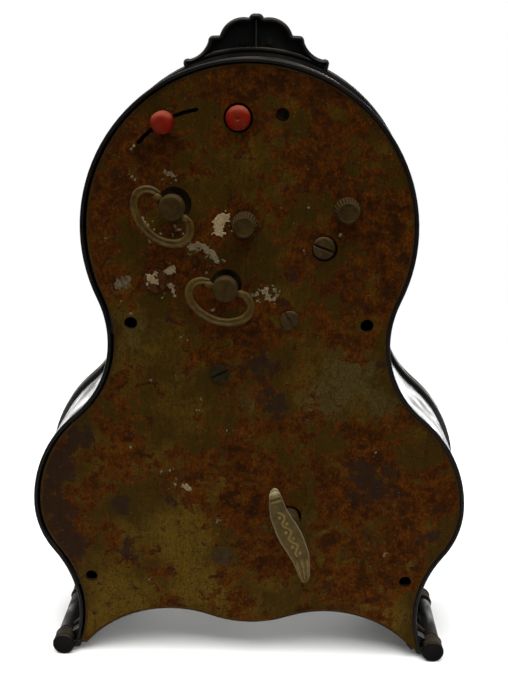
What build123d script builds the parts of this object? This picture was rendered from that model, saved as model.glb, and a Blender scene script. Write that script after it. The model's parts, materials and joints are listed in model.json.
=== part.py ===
from build123d import *
import os
from math import atan2, ceil, cos, degrees, hypot, pi, radians, sin, sqrt

# A waisted, black lacquered musical alarm clock that is also a coin bank.
# Millimetres. +Z is up, the dial faces -Y and the winding side faces +Y.
# Places on the back are written (x, z); "depth" runs from the outer face of
# the back plate towards the dial, so what stands off the back has a depth < 0.

# ---- Driving dimensions: case -------------------------------------------------
BACK_Y = 18.7            # outer face of the back plate
FOOT_LIFT = 4.0          # the foot tips hang this far above the table
HEAD_Z = 174.5 + FOOT_LIFT
HEAD_R = 62.4
WAIST_Z = 133.0 + FOOT_LIFT
WAIST_R = 40.0
LOBE_Z = 64.0 + FOOT_LIFT
LOBE_R = 50.0
SIDE_R = 34.0            # tighter lower half of the lobe
FOOT_Z = 16.0 + FOOT_LIFT
FOOT_R = 45.0
APRON_ARCH = (32.0, -29.7 + FOOT_LIFT)
APRON_ARCH_R = 46.7
APRON_LOBE_Z = 57.3 + FOOT_LIFT
APRON_LOBE_R = 46.0
WALL = 1.0
PLATE_T = 1.0
PLATE_GAP = 1.6          # rim of the band that shows around the back plate
PLATE_SHIFT = -0.5       # the back plate sits a little towards -X
RIM_PROUD = 0.6
BAND_FRONT = 45.0
MOULD_PROUD = 1.5
MOULD_BACK = 42.0
MOULD_FRONT = 48.4
MOULD_INNER = 4.0
PANEL_BACK = 43.8
PANEL_FRONT = 45.0

RUNNER_X = 76.9

# ---- Driving dimensions: what shows on the back --------------------------------
HAND_SET = (1.5, 182.0)
ALARM_SET = (-36.0, 187.5)
TIME_KEY = (27.3, 189.4)
ALARM_KEY = (8.4, 159.2)
MUSIC_KEY = (-16.8, 63.8)
LEVER_PIVOT = (13.2, 187.9)
LEVER_R = 35.6
LEVER_ANGLE = 60.6
SLOT_MIDDLE = 61.0
SLOT_HALF = 19.8
BUTTON = (3.9, 220.3)
PEEPHOLE = (-12.0, 221.5)
SCREW_UPPER = (-27.8, 173.5)
SCREW_SIDE = (34.9, 160.4)
SCREW_LOWER = (-15.6, 145.5)
SCREW_MUSIC = (11.1, 124.0)
RIVET = (10.5, 45.8)
FIXING_HOLES = ((44.8, 143.6), (-44.8, 143.6), (64.3, 35.3), (-64.3, 35.3))
FIXING_R = 2.5
LUG_BORE = 2.4
SLOT_WIDTH = 1.4
UPPER_HOLE = (-28.2, 173.15)    # the upper screw stands off centre in a wide hole
UPPER_HOLE_R = 4.8

# ---- Driving dimensions: movement ------------------------------------------------
MOVEMENT = (0.0, 180.0)
MOVEMENT_R = 45.5
REAR_PLATE = (5.0, 6.5)
FRONT_PLATE = (27.0, 28.5)
FOOT_BORE = 1.6
PIVOT_R = 0.9
RUN = 0.05               # running clearance of a pivot in its hole
TOOTH_GAP = 0.35         # wheels are set apart by this part of a module

# ---- Driving dimensions: bank ------------------------------------------------------
SLOT_Z = 112.0
SLOT_SIZE = (27.0, 3.2)
CHUTE_INNER = (30.0, 5.6)
CHUTE_BACK = 37.0
CHUTE_Z = (50.0, 118.0)
TRAY_X = 36.0
TRAY_Z = (23.0, 46.0)
TRAY_BACK = 20.0

os.makedirs("parts", exist_ok=True)


# ---- Helpers ------------------------------------------------------------------------
def plane_at(depth):
    """Sketch plane across the case; its normal points to the dial."""
    return Plane(origin=(0, BACK_Y - depth, 0), x_dir=(1, 0, 0), z_dir=(0, -1, 0))


def slab(sketch, near, far):
    """Extrude a sketch drawn in (x, z) from one depth to another."""
    return extrude(plane_at(near) * sketch, far - near)


def disc(place, radius, near, far):
    return slab(Pos(*place) * Circle(radius), near, far)


def ring(place, outer, inner, near, far):
    return slab(Pos(*place) * (Circle(outer) - Circle(inner)), near, far)


def block(x, z, near, far):
    """A box from pairs of x and z limits and two depths."""
    wide = x[1] - x[0]
    high = z[1] - z[0]
    return slab(Pos((x[0] + x[1]) / 2, (z[0] + z[1]) / 2) * Rectangle(wide, high), near, far)


def polar(place, radius, angle):
    """The point at a radius and an angle (degrees from +X towards +Z)."""
    return (place[0] + radius * cos(radians(angle)), place[1] + radius * sin(radians(angle)))


def distance(a, b):
    return hypot(a[0] - b[0], a[1] - b[1])


def along(place, angle, shape):
    """Put a (x, z) sketch at a place, turned by an angle."""
    return Pos(*place) * Rot(0, 0, angle) * shape


def tidy(shape):
    """One clean compound of the shape's solids."""
    solids = shape.solids()
    if len(solids) == 1:
        return solids[0]
    return Compound(children=list(solids))


def write(name, shape):
    export_step(tidy(shape), f"parts/{name}.step")


# ---- Case outline ---------------------------------------------------------------------
def touch(a, a_radius, b, b_radius):
    """The point where two circles that touch outside each other meet."""
    part = a_radius / (a_radius + b_radius)
    return (a[0] + (b[0] - a[0]) * part, a[1] + (b[1] - a[1]) * part)


def arc_about(centre, start, end):
    """The short arc from start to end about a centre."""
    middle_x = (start[0] + end[0]) / 2 - centre[0]
    middle_z = (start[1] + end[1]) / 2 - centre[1]
    scale = distance(centre, start) / hypot(middle_x, middle_z)
    middle = (centre[0] + middle_x * scale, centre[1] + middle_z * scale)
    return ThreePointArc(start, middle, end)


def cross_high(a, a_radius, b, b_radius):
    """The upper point where two circles cross."""
    gap = distance(a, b)
    reach = (a_radius ** 2 - b_radius ** 2 + gap ** 2) / (2 * gap)
    half = sqrt(a_radius ** 2 - reach ** 2)
    way = ((b[0] - a[0]) / gap, (b[1] - a[1]) / gap)
    first = (a[0] + way[0] * reach - way[1] * half, a[1] + way[1] * reach + way[0] * half)
    second = (a[0] + way[0] * reach + way[1] * half, a[1] + way[1] * reach - way[0] * half)
    return max(first, second, key=lambda point: point[1])


def case_face(inset=0.0, apron_inset=None):
    """The case outline, moved in by an inset; the lower edge may have its own."""
    low = inset if apron_inset is None else apron_inset
    head = (0.0, HEAD_Z)
    waist_x = sqrt((HEAD_R + WAIST_R) ** 2 - (HEAD_Z - WAIST_Z) ** 2)
    waist = (waist_x, WAIST_Z)
    lobe = (waist_x - sqrt((WAIST_R + LOBE_R) ** 2 - (WAIST_Z - LOBE_Z) ** 2), LOBE_Z)
    side = (lobe[0] + LOBE_R - SIDE_R, LOBE_Z)
    foot = (side[0] + sqrt((SIDE_R + FOOT_R) ** 2 - (LOBE_Z - FOOT_Z) ** 2), FOOT_Z)
    foot_r = FOOT_R + inset
    arch_r = APRON_ARCH_R + low
    tip_z = FOOT_LIFT + low
    apron = (0.0, APRON_LOBE_Z)

    top = (0.0, HEAD_Z + HEAD_R - inset)
    neck = touch(head, HEAD_R - inset, waist, WAIST_R + inset)
    shoulder = touch(waist, WAIST_R + inset, lobe, LOBE_R - inset)
    widest = (lobe[0] + LOBE_R - inset, LOBE_Z)
    ankle = touch(side, SIDE_R - inset, foot, foot_r)
    tip_out = (foot[0] - sqrt(foot_r ** 2 - (tip_z - foot[1]) ** 2), tip_z)
    tip_in = (APRON_ARCH[0] + sqrt(arch_r ** 2 - (tip_z - APRON_ARCH[1]) ** 2), tip_z)
    tip = [Line(tip_out, tip_in)] if tip_out[0] > tip_in[0] else []
    if not tip:
        tip_out = cross_high(foot, foot_r, APRON_ARCH, arch_r)
        tip_in = tip_out
    valley = touch(APRON_ARCH, arch_r, apron, APRON_LOBE_R - low)
    bottom = (0.0, APRON_LOBE_Z - APRON_LOBE_R + low)

    half = [
        arc_about(head, top, (HEAD_R - inset, HEAD_Z)),
        arc_about(head, (HEAD_R - inset, HEAD_Z), neck),
        arc_about(waist, neck, shoulder),
        arc_about(lobe, shoulder, widest),
        arc_about(side, widest, ankle),
        arc_about(foot, ankle, tip_out),
        *tip,
        arc_about(APRON_ARCH, tip_in, valley),
        arc_about(apron, valley, bottom),
    ]
    other = [mirror(edge, about=Plane.YZ) for edge in half]
    return make_face(Curve() + half + other)


APRON_ZONE = Pos(0, FOOT_LIFT + 9.0) * Rectangle(2 * 66.0, 26.0)


def case_band():
    """The strip that wraps round the case, from foot to foot, with a rolled rear rim."""
    hoop = slab(case_face(0) - case_face(WALL), -RIM_PROUD, BAND_FRONT)
    hoop -= slab(APRON_ZONE, -RIM_PROUD, BAND_FRONT)
    lugs = []
    for x, z in FIXING_HOLES:
        way = 1 if x > 0 else -1
        lug = slab(Pos(x, z) * Circle(6.0), PLATE_T, PLATE_T + 1.2)
        reach = Pos(x + way * 6.5, z) * Rectangle(13.0, 9.0)
        lug += slab(reach, PLATE_T, PLATE_T + 1.2)
        lug = lug & slab(case_face(WALL), PLATE_T, PLATE_T + 1.2)
        lugs.append(lug - disc((x, z), LUG_BORE, 0, 5))
    for lug in lugs:
        hoop += lug
    hoop -= slab(Pos(PLATE_SHIFT, 0) * case_face(PLATE_GAP, 0.0), -2, PLATE_T)
    for side in (-1, 1):
        for depth in STUD_DEPTHS:
            hoop -= stud_hole(side, depth)
    return hoop


def bottom_strip():
    """The scalloped strip between the feet, tucked in behind the back plate."""
    strip = slab(case_face(0) - case_face(WALL), PLATE_T, BAND_FRONT)
    return strip & slab(APRON_ZONE, PLATE_T, BAND_FRONT)


def front_moulding():
    """The proud rim round the front of the case; the band's front edge fits in its rebate."""
    rim = slab(case_face(-MOULD_PROUD) - case_face(MOULD_INNER), MOULD_BACK, MOULD_FRONT)
    return rim - slab(case_face(0), MOULD_BACK, BAND_FRONT)


def front_panel():
    panel = slab(case_face(WALL), PANEL_BACK, PANEL_FRONT)
    panel -= disc(HAND_SET, DIAL_R - 2.0, PANEL_BACK, PANEL_FRONT)
    panel -= slab(Pos(0, SLOT_Z) * Rectangle(*SLOT_SIZE), PANEL_BACK, PANEL_FRONT)
    return panel


def arc_slot(width):
    """The curved slot that the stop lever's stem runs in."""
    first = polar(LEVER_PIVOT, LEVER_R, SLOT_MIDDLE - SLOT_HALF)
    last = polar(LEVER_PIVOT, LEVER_R, SLOT_MIDDLE + SLOT_HALF)
    return SlotArc(arc_about(LEVER_PIVOT, first, last), width)


def back_plate():
    plate = slab(Pos(PLATE_SHIFT, 0) * case_face(PLATE_GAP, 0.0), 0, PLATE_T)
    plate = plate - slab(arc_slot(SLOT_WIDTH), 0, PLATE_T)
    holes = [
        (HAND_SET, 3.4),
        (ALARM_SET, 3.4),
        (TIME_KEY, 6.2),
        (ALARM_KEY, 5.8),
        (MUSIC_KEY, 4.6),
        (BUTTON, 5.3),
        (PEEPHOLE, 2.4),
        (UPPER_HOLE, UPPER_HOLE_R),
        (SCREW_SIDE, 2.0),
        (SCREW_LOWER, 2.0),
        (SCREW_MUSIC, 2.0),
        (RIVET, 2.0),
    ]
    holes += [(place, FIXING_R) for place in FIXING_HOLES]
    for place, radius in holes:
        plate -= disc(place, radius, 0, PLATE_T)
    return plate


# ---- Runner feet -----------------------------------------------------------------------
RUNNER_Z = 4.5
RUNNER_R = 3.75
RUNNER_CAP_R = 4.5
RUNNER_REAR = -1.5
RUNNER_LEN = 41.5
STUD_DEPTHS = (9.0, 32.0)
STUD_R = 1.5
STUD_LOW = (76.8, 4.2)
STUD_HIGH = (64.0, 14.7)
WEB_DEPTHS = ((1.2, 4.8), (33.8, 38.2))
WEB_POINTS = ((73.0, 0.9), (70.5, 0.7), (65.0, 3.2), (65.0, 6.0), (69.0, 11.0), (73.5, 8.2))


def runner(side):
    """A round bar beside one foot, with turned collars and a web to the foot near each end."""
    place = (side * RUNNER_X, RUNNER_Z)
    bar = disc(place, RUNNER_R, RUNNER_REAR, RUNNER_REAR + RUNNER_LEN)
    for near in (RUNNER_REAR + 2.4, RUNNER_REAR + RUNNER_LEN - 4.4):
        bar += disc(place, RUNNER_R + 0.5, near, near + 2.0)
    corners = [(side * x, z) for x, z in WEB_POINTS]
    face = make_face(Polyline(*corners, close=True))
    for near, far in WEB_DEPTHS:
        bar += slab(face, near, far) - slab(case_face(0), near, far)
    for depth in STUD_DEPTHS:
        bar -= stud(side, depth)
    return bar


def runner_caps():
    """Four end caps, each a shallow cup pressed on the end of a runner."""
    caps = []
    for side in (-1, 1):
        place = (side * RUNNER_X, RUNNER_Z)
        rear = disc(place, RUNNER_CAP_R, RUNNER_REAR - 1.6, RUNNER_REAR + 1.6)
        rear -= disc(place, RUNNER_R, RUNNER_REAR, RUNNER_REAR + 1.6)
        front_end = RUNNER_REAR + RUNNER_LEN
        front = disc(place, RUNNER_CAP_R, front_end - 1.6, front_end + 1.6)
        front -= disc(place, RUNNER_R, front_end - 1.6, front_end)
        caps += [rounded_cap(rear), rounded_cap(front)]
    return Compound(children=[cap.solids()[0] for cap in caps])


def rounded_cap(cap):
    edges = cap.edges().filter_by(GeomType.CIRCLE).filter_by(lambda e: abs(e.radius - RUNNER_CAP_R) < 0.01)
    return fillet(edges, 0.7)


def stud_axis(side, depth):
    """A stud leans in from the runner to the foot wall."""
    start = Vector(side * STUD_LOW[0], BACK_Y - depth, STUD_LOW[1])
    end = Vector(side * STUD_HIGH[0], BACK_Y - depth, STUD_HIGH[1])
    return start, end


def stud_shape(side, depth, radius, start_at, stop_at):
    start, end = stud_axis(side, depth)
    way = (end - start).normalized()
    bottom = start + way * start_at
    return extrude(Plane(origin=bottom, z_dir=way) * Circle(radius), stop_at - start_at)


def stud(side, depth):
    return stud_shape(side, depth, STUD_R, 0.6, 14.8)


def stud_hole(side, depth):
    return stud_shape(side, depth, STUD_R, -6.0, 16.0)


def runner_studs():
    studs = []
    for side in (-1, 1):
        for depth in STUD_DEPTHS:
            shank = stud(side, depth)
            head = stud_shape(side, depth, 2.6, 12.8, 14.8)
            studs.append((shank + head).solids()[0])
    return Compound(children=studs)


# ---- Crest --------------------------------------------------------------------------------
CREST_X = -1.2
CREST_BACK = 41.5
CREST_FRONT = 48.4
CREST_SHELL = 1.4
CREST_RIVETS = ((4.0, 246.6), (-6.4, 246.6))


def crest_outline(inset=0.0):
    """The bonnet shaped silhouette: finial, two domes, two steps and two scroll ends."""
    finial_low = (2.9 - inset * 0.4, 255.3 - inset)
    dome_end = (14.3 - inset, 248.7)
    step_top = (16.9 - inset, 248.6 - inset * 0.8)
    step_low = (18.9 - inset, 246.3 - inset * 0.6)
    scroll_top = (26.4 - inset, 239.7 - inset * 0.9)
    scroll_tip = (28.7 - inset, 238.0)
    scroll_low = (28.2 - inset, 236.0)
    foot = (scroll_low[0], HEAD_Z)
    edges = [
        ThreePointArc((0, 256.8 - inset), (2.1 - inset * 0.3, 256.4 - inset), finial_low),
        ThreePointArc(finial_low, (11.0 - inset * 0.6, 253.4 - inset * 0.8), dome_end),
        Line(dome_end, step_top),
        ThreePointArc(step_top, (18.4 - inset, 247.8 - inset * 0.7), step_low),
        ThreePointArc(step_low, (21.4 - inset * 0.9, 242.3 - inset * 0.6), scroll_top),
        ThreePointArc(scroll_top, (28.3 - inset, 239.3 - inset * 0.7), scroll_tip),
        Line(scroll_tip, scroll_low),
        Line(scroll_low, foot),
        Line(foot, (0, HEAD_Z)),
    ]
    return make_face(Curve() + edges + [mirror(edge, about=Plane.YZ) for edge in edges])


def crest():
    """A thin casting, hollow behind, standing on the moulding at the top of the head."""
    body = slab(Pos(CREST_X, 0) * crest_outline(), CREST_BACK, CREST_FRONT)
    pocket = slab(Pos(CREST_X, 0) * crest_outline(CREST_SHELL), CREST_BACK, CREST_FRONT - 1.6)
    rib = block((CREST_X - 0.35, CREST_X + 0.35), (HEAD_Z, 254.0), CREST_BACK + 0.8, CREST_FRONT - 1.6)
    body = body - pocket + rib
    body -= slab(case_face(-MOULD_PROUD), CREST_BACK, CREST_FRONT)
    for place in CREST_RIVETS:
        body -= disc(place, 0.9, CREST_FRONT - 1.6, CREST_FRONT)
    return body


def crest_rivets():
    """Two small rivets that hold the ornament's face plate to its casting."""
    rivets = []
    for place in CREST_RIVETS:
        shank = disc(place, 0.9, CREST_FRONT - 1.6, CREST_FRONT)
        head = disc(place, 1.5, CREST_FRONT - 2.6, CREST_FRONT - 1.6)
        rivets.append((shank + head).solids()[0])
    return Compound(children=rivets)


# ---- Wheels --------------------------------------------------------------------------------
def toothed(place, teeth, module, near, far, bore=0.0, phase=0.0, spokes=0):
    """A wheel with trapezoid teeth; phase turns one tooth off the +X axis, in degrees."""
    pitch = teeth * module / 2
    tip = pitch + 0.72 * module
    root = pitch - 1.1 * module
    step = 360 / teeth
    points = []
    for tooth in range(teeth):
        middle = phase + tooth * step
        points.append(polar((0, 0), root, middle - step * 0.30))
        points.append(polar((0, 0), tip, middle - step * 0.11))
        points.append(polar((0, 0), tip, middle + step * 0.11))
        points.append(polar((0, 0), root, middle + step * 0.30))
    face = make_face(Polyline(*points, close=True))
    if spokes:
        rim = root - 1.6
        hub = max(bore + 1.8, 3.0)
        face -= Circle(rim) - Circle(hub)
        for spoke in range(spokes):
            arm = Pos((rim + hub) / 2, 0) * Rectangle(rim - hub + 0.8, 1.8)
            face += Rot(0, 0, spoke * 360 / spokes) * arm
    if bore:
        face -= Circle(bore)
    return slab(Pos(*place) * face, near, far)


def mesh_place(driver, driver_teeth, driven_teeth, module, angle):
    """Where a wheel's axis stands so that its teeth run in the driver's teeth."""
    reach = (driver_teeth + driven_teeth) * module / 2 + TOOTH_GAP * module
    return polar(driver, reach, angle)


def mesh_phase(driver, driver_teeth, driver_phase, driven, driven_teeth):
    """The phase that puts a gap of the driven wheel opposite a tooth of the driver."""
    facing = degrees(atan2(driven[1] - driver[1], driven[0] - driver[0]))
    driver_step = 360 / driver_teeth
    driven_step = 360 / driven_teeth
    off_tooth = (facing - driver_phase) / driver_step
    return facing + 180 + (off_tooth + 0.5) * driven_step


# Train: the great wheel turns the centre pinion, and so on to the escape wheel.
GREAT = (70, 8)
GREAT_MODULE = 2 * (distance(TIME_KEY, HAND_SET)) / (sum(GREAT) + 2 * TOOTH_GAP)
CENTRE = (64, 8)
THIRD = (60, 8)
FINE = 0.5
THIRD_PLACE = mesh_place(HAND_SET, CENTRE[0], CENTRE[1], FINE, 158.0)
ESCAPE_PLACE = mesh_place(THIRD_PLACE, THIRD[0], THIRD[1], FINE, 62.0)
ESCAPE_R = 8.0
PALLET_PLACE = polar(ESCAPE_PLACE, 10.8, 40.0)
BALANCE_PLACE = polar(PALLET_PLACE, 12.5, 15.0)
BALANCE_R = 9.5
GREAT_PHASE = 0.0
CENTRE_PINION_PHASE = mesh_phase(TIME_KEY, GREAT[0], GREAT_PHASE, HAND_SET, GREAT[1])
THIRD_PINION_PHASE = mesh_phase(HAND_SET, CENTRE[0], 0.0, THIRD_PLACE, CENTRE[1])
ESCAPE_PINION_PHASE = mesh_phase(THIRD_PLACE, THIRD[0], 0.0, ESCAPE_PLACE, THIRD[1])

# Motion work: minute wheel and its pinion carry the centre's turn to the hour wheel.
CANNON_TEETH = 12
MINUTE_TEETH = 36
MINUTE_PINION_TEETH = 10
HOUR_TEETH = 40
MINUTE_PLACE = mesh_place(HAND_SET, CANNON_TEETH, MINUTE_TEETH, FINE, -62.0)
HOUR_MODULE = 2 * distance(HAND_SET, MINUTE_PLACE) / (MINUTE_PINION_TEETH + HOUR_TEETH + 2 * TOOTH_GAP)
MINUTE_PHASE = mesh_phase(HAND_SET, CANNON_TEETH, 0.0, MINUTE_PLACE, MINUTE_TEETH)
HOUR_PHASE = mesh_phase(MINUTE_PLACE, MINUTE_PINION_TEETH, 0.0, HAND_SET, HOUR_TEETH)

# Alarm setting: the setting wheel turns the alarm wheel behind the dial.
ALARM_SET_TEETH = 30
ALARM_TEETH = 60
ALARM_MODULE = 2 * distance(HAND_SET, ALARM_SET) / (ALARM_SET_TEETH + ALARM_TEETH + 2 * TOOTH_GAP)
ALARM_PHASE = mesh_phase(ALARM_SET, ALARM_SET_TEETH, 0.0, HAND_SET, ALARM_TEETH)

PILLARS = (SCREW_UPPER, SCREW_SIDE, SCREW_LOWER)
PILLAR_R = 3.4
ARBOR_R = 1.5


def movement_plate(limits, rear):
    near, far = limits
    plate = disc(MOVEMENT, MOVEMENT_R, near, far)
    holes = [(place, 2.2) for place in PILLARS]
    holes += [(HAND_SET, ARBOR_R + RUN), (ALARM_SET, ARBOR_R + RUN)]
    holes += [(place, PIVOT_R + RUN) for place in (THIRD_PLACE, ESCAPE_PLACE, PALLET_PLACE, BALANCE_PLACE)]
    if rear:
        holes += [(TIME_KEY, 2.5 + RUN), (ALARM_KEY, 2.5 + RUN), (LEVER_PIVOT, 1.2)]
    else:
        holes += [(TIME_KEY, ARBOR_R + RUN), (ALARM_KEY, ARBOR_R + RUN), (MINUTE_PLACE, 1.0)]
    for place, radius in holes:
        plate -= disc(place, radius, near, far)
    return plate


def movement_pillars():
    """Three shouldered pillars; two stand against the back plate, the third comes through it."""
    pillars = []
    for place in PILLARS:
        pillar = disc(place, 2.2, REAR_PLATE[0], FRONT_PLATE[1])
        pillar += disc(place, PILLAR_R, REAR_PLATE[1], FRONT_PLATE[0])
        rear_end = 0 if place == SCREW_UPPER else PLATE_T
        pillar += disc(place, PILLAR_R, rear_end, REAR_PLATE[0])
        pillar -= disc(place, FOOT_BORE, rear_end, 12.0)
        pillars.append(pillar.solids()[0])
    return Compound(children=pillars)


def slotted_screw(place, head_r, head_h, shank_r, reach, slot_angle, start=0.0):
    """A cheese head screw in from the back, its slot turned from the +X axis."""
    head = disc(place, head_r, start - head_h, start)
    rim = head.edges().filter_by(GeomType.CIRCLE).sort_by(Axis.Y)[-1]
    head = fillet([rim], min(0.45, head_h * 0.4))
    slot = along(place, slot_angle, Rectangle(head_r * 2.2, 1.1))
    head -= slab(slot, start - head_h - 0.1, start - head_h * 0.45)
    return head + disc(place, shank_r, start, reach)


# ---- Winding keys ------------------------------------------------------------------------------
KEY_BOSS_R = 4.7
LOOP_THICK = 1.5
# The bow in its own plane: x along the pin, y away from the hub. One lobe is fuller.
LOOP_OUTER = (
    (6.4, -2.0), (10.6, -1.5), (13.3, 0.9), (14.1, 4.0), (12.8, 7.6), (9.2, 11.2), (3.8, 13.5), (-1.6, 13.9),
    (-6.2, 12.9), (-10.2, 10.5), (-12.5, 7.2), (-12.4, 3.6), (-10.2, 0.4), (-6.4, -1.0),
)
LOOP_INNER = (
    (5.6, -0.1), (8.6, 0.5), (10.7, 2.1), (11.2, 4.4), (9.9, 7.1), (7.0, 9.4), (3.0, 10.8), (-1.5, 11.1),
    (-5.4, 10.1), (-8.5, 8.1), (-9.8, 5.8), (-9.3, 3.6), (-7.9, 2.2), (-6.0, 1.2),
)
PIN_R = 0.75
SPRING_STRIP = 0.4


def key_depths(stand):
    """Depths of a key's boss face and of its hinge line."""
    return -stand, -(stand - 2.2)


def hinge_frame(place, stand, angle):
    """Frame on the hinge line: x along the pin, y towards the loop's bow, z off the plate."""
    hinge_depth = key_depths(stand)[1]
    frame = Plane(origin=(place[0], BACK_Y - hinge_depth, place[1]),
                  x_dir=(cos(radians(angle)), 0, sin(radians(angle))), z_dir=(0, 1, 0))
    return frame


HUB_HEAD = 4.6
HUB_TUBE_R = 3.1
HUB_BORE_R = 1.9
HUB_END = 4.2


def key_hub(place, stand, angle):
    """A turned boss on a tube, slotted across for the hinge pin of the loop."""
    face = key_depths(stand)[0]
    hub = disc(place, KEY_BOSS_R, face, face + HUB_HEAD)
    edge = hub.edges().filter_by(GeomType.CIRCLE).sort_by(Axis.Y)[-1]
    hub = fillet([edge], 0.8)
    hub += disc(place, HUB_TUBE_R, face + HUB_HEAD, HUB_END)
    frame = hinge_frame(place, stand, angle)
    pin_hole = frame * Rot(0, 90, 0) * Cylinder(PIN_R + RUN, 2 * KEY_BOSS_R + 2)
    hub -= pin_hole
    hub -= disc(place, HUB_BORE_R, face + 3.8, HUB_END)
    return hub


def bow_face(points):
    return make_face(Curve() + [Spline(*points), Line(points[-1], points[0])])


def key_loop(place, stand, angle):
    """The folding bow: an ear on each side of the hub and the cross pin it swings on."""
    frame = hinge_frame(place, stand, angle)
    outer = bow_face(LOOP_OUTER)
    inner = bow_face(LOOP_INNER)
    body = extrude(outer, LOOP_THICK / 2, both=True) - extrude(inner, LOOP_THICK, both=True)
    body -= Cylinder(KEY_BOSS_R + 0.35, 6 * LOOP_THICK)
    ears = None
    for side in (-1, 1):
        ear = Pos(side * (KEY_BOSS_R + 0.4 + 1.1), 0, 0) * Rot(0, 90, 0) * Cylinder(1.7, 2.2)
        ears = ear if ears is None else ears + ear
    body += ears
    body += Rot(0, 90, 0) * Cylinder(PIN_R, 2 * (KEY_BOSS_R + 1.0))
    return frame * body


def key_arbor(place, far, barrel_near, barrel_far):
    """Winding arbor: square shouldered in the hub, then through the barrel."""
    arbor = disc(place, 1.9, -2.4, 4.2)
    arbor += disc(place, 2.5, 4.2, barrel_near - 0.6)
    arbor += disc(place, 2.5, barrel_near - 0.6, barrel_far + 0.6)
    arbor += disc(place, ARBOR_R, barrel_far + 0.6, far)
    return arbor


def barrel(place, drum_r, near, far, teeth=0, module=0.0):
    """A spring barrel: drum and lids, with the wheel on its rear lid when it has teeth."""
    drum = ring(place, drum_r, 2.5 + RUN, near, far)
    drum -= ring(place, drum_r - 1.0, 2.5 + RUN - 0.1, near + 1.2, far - 1.0)
    if teeth:
        drum += toothed(place, teeth, module, near, near + 1.2, bore=drum_r - 0.5)
    return drum


def mainspring(place, inner_r, outer_r, near, far, turns):
    """A flat spiral spring wound between arbor and drum."""
    facets = 20
    growth = (outer_r - inner_r) / turns
    inside = []
    outside = []
    for index in range(turns * facets + 1):
        angle = index * 360 / facets
        radius = inner_r + growth * angle / 360
        inside.append(polar((0, 0), radius, angle))
        outside.append(polar((0, 0), radius + SPRING_STRIP, angle))
    ribbon = make_face(Polyline(*inside, *reversed(outside), close=True))
    return slab(Pos(*place) * ribbon, near, far)


# ---- Music handle --------------------------------------------------------------------------------
HANDLE_DEPTH = (-16.6, -14.6)
HANDLE_ANGLE = 72.2
HANDLE_HALF = 21.0


def leaf_face(inset=0.0):
    """A slender leaf, fuller on one side at each end, so it looks the same turned half round."""
    long = HANDLE_HALF - inset
    tip = 1.2 - inset * 0.4
    side = [
        (-long, -tip),
        (-long * 0.6, -2.2 + inset * 0.8),
        (-long * 0.3, -3.3 + inset * 0.9),
        (0.0, -4.7 + inset),
        (long * 0.42, -5.15 + inset),
        (long * 0.8, -3.4 + inset * 0.8),
        (long, -tip * 0.4),
    ]
    upper = Spline(*side)
    lower = Spline(*[(-x, -z) for x, z in side])
    ends = [Line(side[-1], (long, tip)), Line((-long, -tip), (-long, tip * 0.4))]
    return make_face(Curve() + [upper, lower] + ends)


def music_handle():
    """Stamped turning handle, dished inside a raised rim."""
    near, far = HANDLE_DEPTH
    leaf = slab(along(MUSIC_KEY, HANDLE_ANGLE, leaf_face()), near, far)
    dish = slab(along(MUSIC_KEY, HANDLE_ANGLE, leaf_face(0.9)), near, near + 0.6)
    return leaf - dish


def music_hub():
    """The post under the handle, with a wider boss next to the back plate."""
    post = disc(MUSIC_KEY, 2.6, HANDLE_DEPTH[1], -6.0)
    post += disc(MUSIC_KEY, 3.8, -6.0, 2.4)
    return post


def music_arbor():
    arbor = disc(MUSIC_KEY, 2.4, 2.4, MUSIC_BARREL[0] - 0.3)
    arbor += disc(MUSIC_KEY, 2.4, MUSIC_BARREL[0] - 0.3, MUSIC_BARREL[1] + 0.3)
    arbor += disc(MUSIC_KEY, 1.2, MUSIC_BARREL[1] + 0.3, BRIDGE[1])
    return arbor


# ---- Setting knobs, lever and button --------------------------------------------------------------
KNOB_R = 4.9
KNOB_TOP_R = 4.0
KNOB_H = 6.6
LEVER_DEPTH = (2.6, 3.6)
LEVER_KNOB = (-9.0, -1.2)
LEVER_KNOB_R = 4.1
STEM_R = 0.6
STEM_END = -5.0


def setting_knob(place):
    """A tapered knob with a fluted side and a shallow dished face."""
    near = -0.8 - KNOB_H
    stock = loft([plane_at(-0.8) * Pos(*place) * Circle(KNOB_R),
                  plane_at(near) * Pos(*place) * Circle(KNOB_TOP_R)])
    flutes = 22
    for flute in range(flutes):
        angle = flute * 360 / flutes
        groove = disc(polar(place, KNOB_R + 0.05, angle), 0.42, near + 0.9, -0.8)
        stock -= groove
    stock -= disc(place, KNOB_TOP_R - 0.9, near, near + 0.4)
    stock += disc(place, 2.6, -0.8, PLATE_T + 0.4)
    return stock - disc(place, ARBOR_R, -3.0, PLATE_T + 0.4)


def stop_lever():
    """Flat strip on the lever stud, with a bent up stem that comes out through the arc slot."""
    knob = polar(LEVER_PIVOT, LEVER_R, LEVER_ANGLE)
    strip = along(LEVER_PIVOT, LEVER_ANGLE, Pos(LEVER_R / 2, 0) * Rectangle(LEVER_R, 4.0))
    arm = slab(strip, *LEVER_DEPTH)
    arm += disc(LEVER_PIVOT, 3.2, *LEVER_DEPTH)
    arm += disc(knob, 2.4, *LEVER_DEPTH)
    tail = along(LEVER_PIVOT, LEVER_ANGLE + 180, Pos(5, 0) * Rectangle(10, 2.6))
    arm += slab(tail, *LEVER_DEPTH)
    arm += disc(knob, STEM_R, STEM_END, LEVER_DEPTH[0])
    return arm - disc(LEVER_PIVOT, 1.2 + RUN, *LEVER_DEPTH)


def lever_stud():
    stud_body = disc(LEVER_PIVOT, 1.2, 1.9, REAR_PLATE[1])
    stud_body += disc(LEVER_PIVOT, 2.4, 1.5, 2.45)
    stud_body += disc(LEVER_PIVOT, 2.6, LEVER_DEPTH[1] + 0.1, REAR_PLATE[0])
    return stud_body


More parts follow.
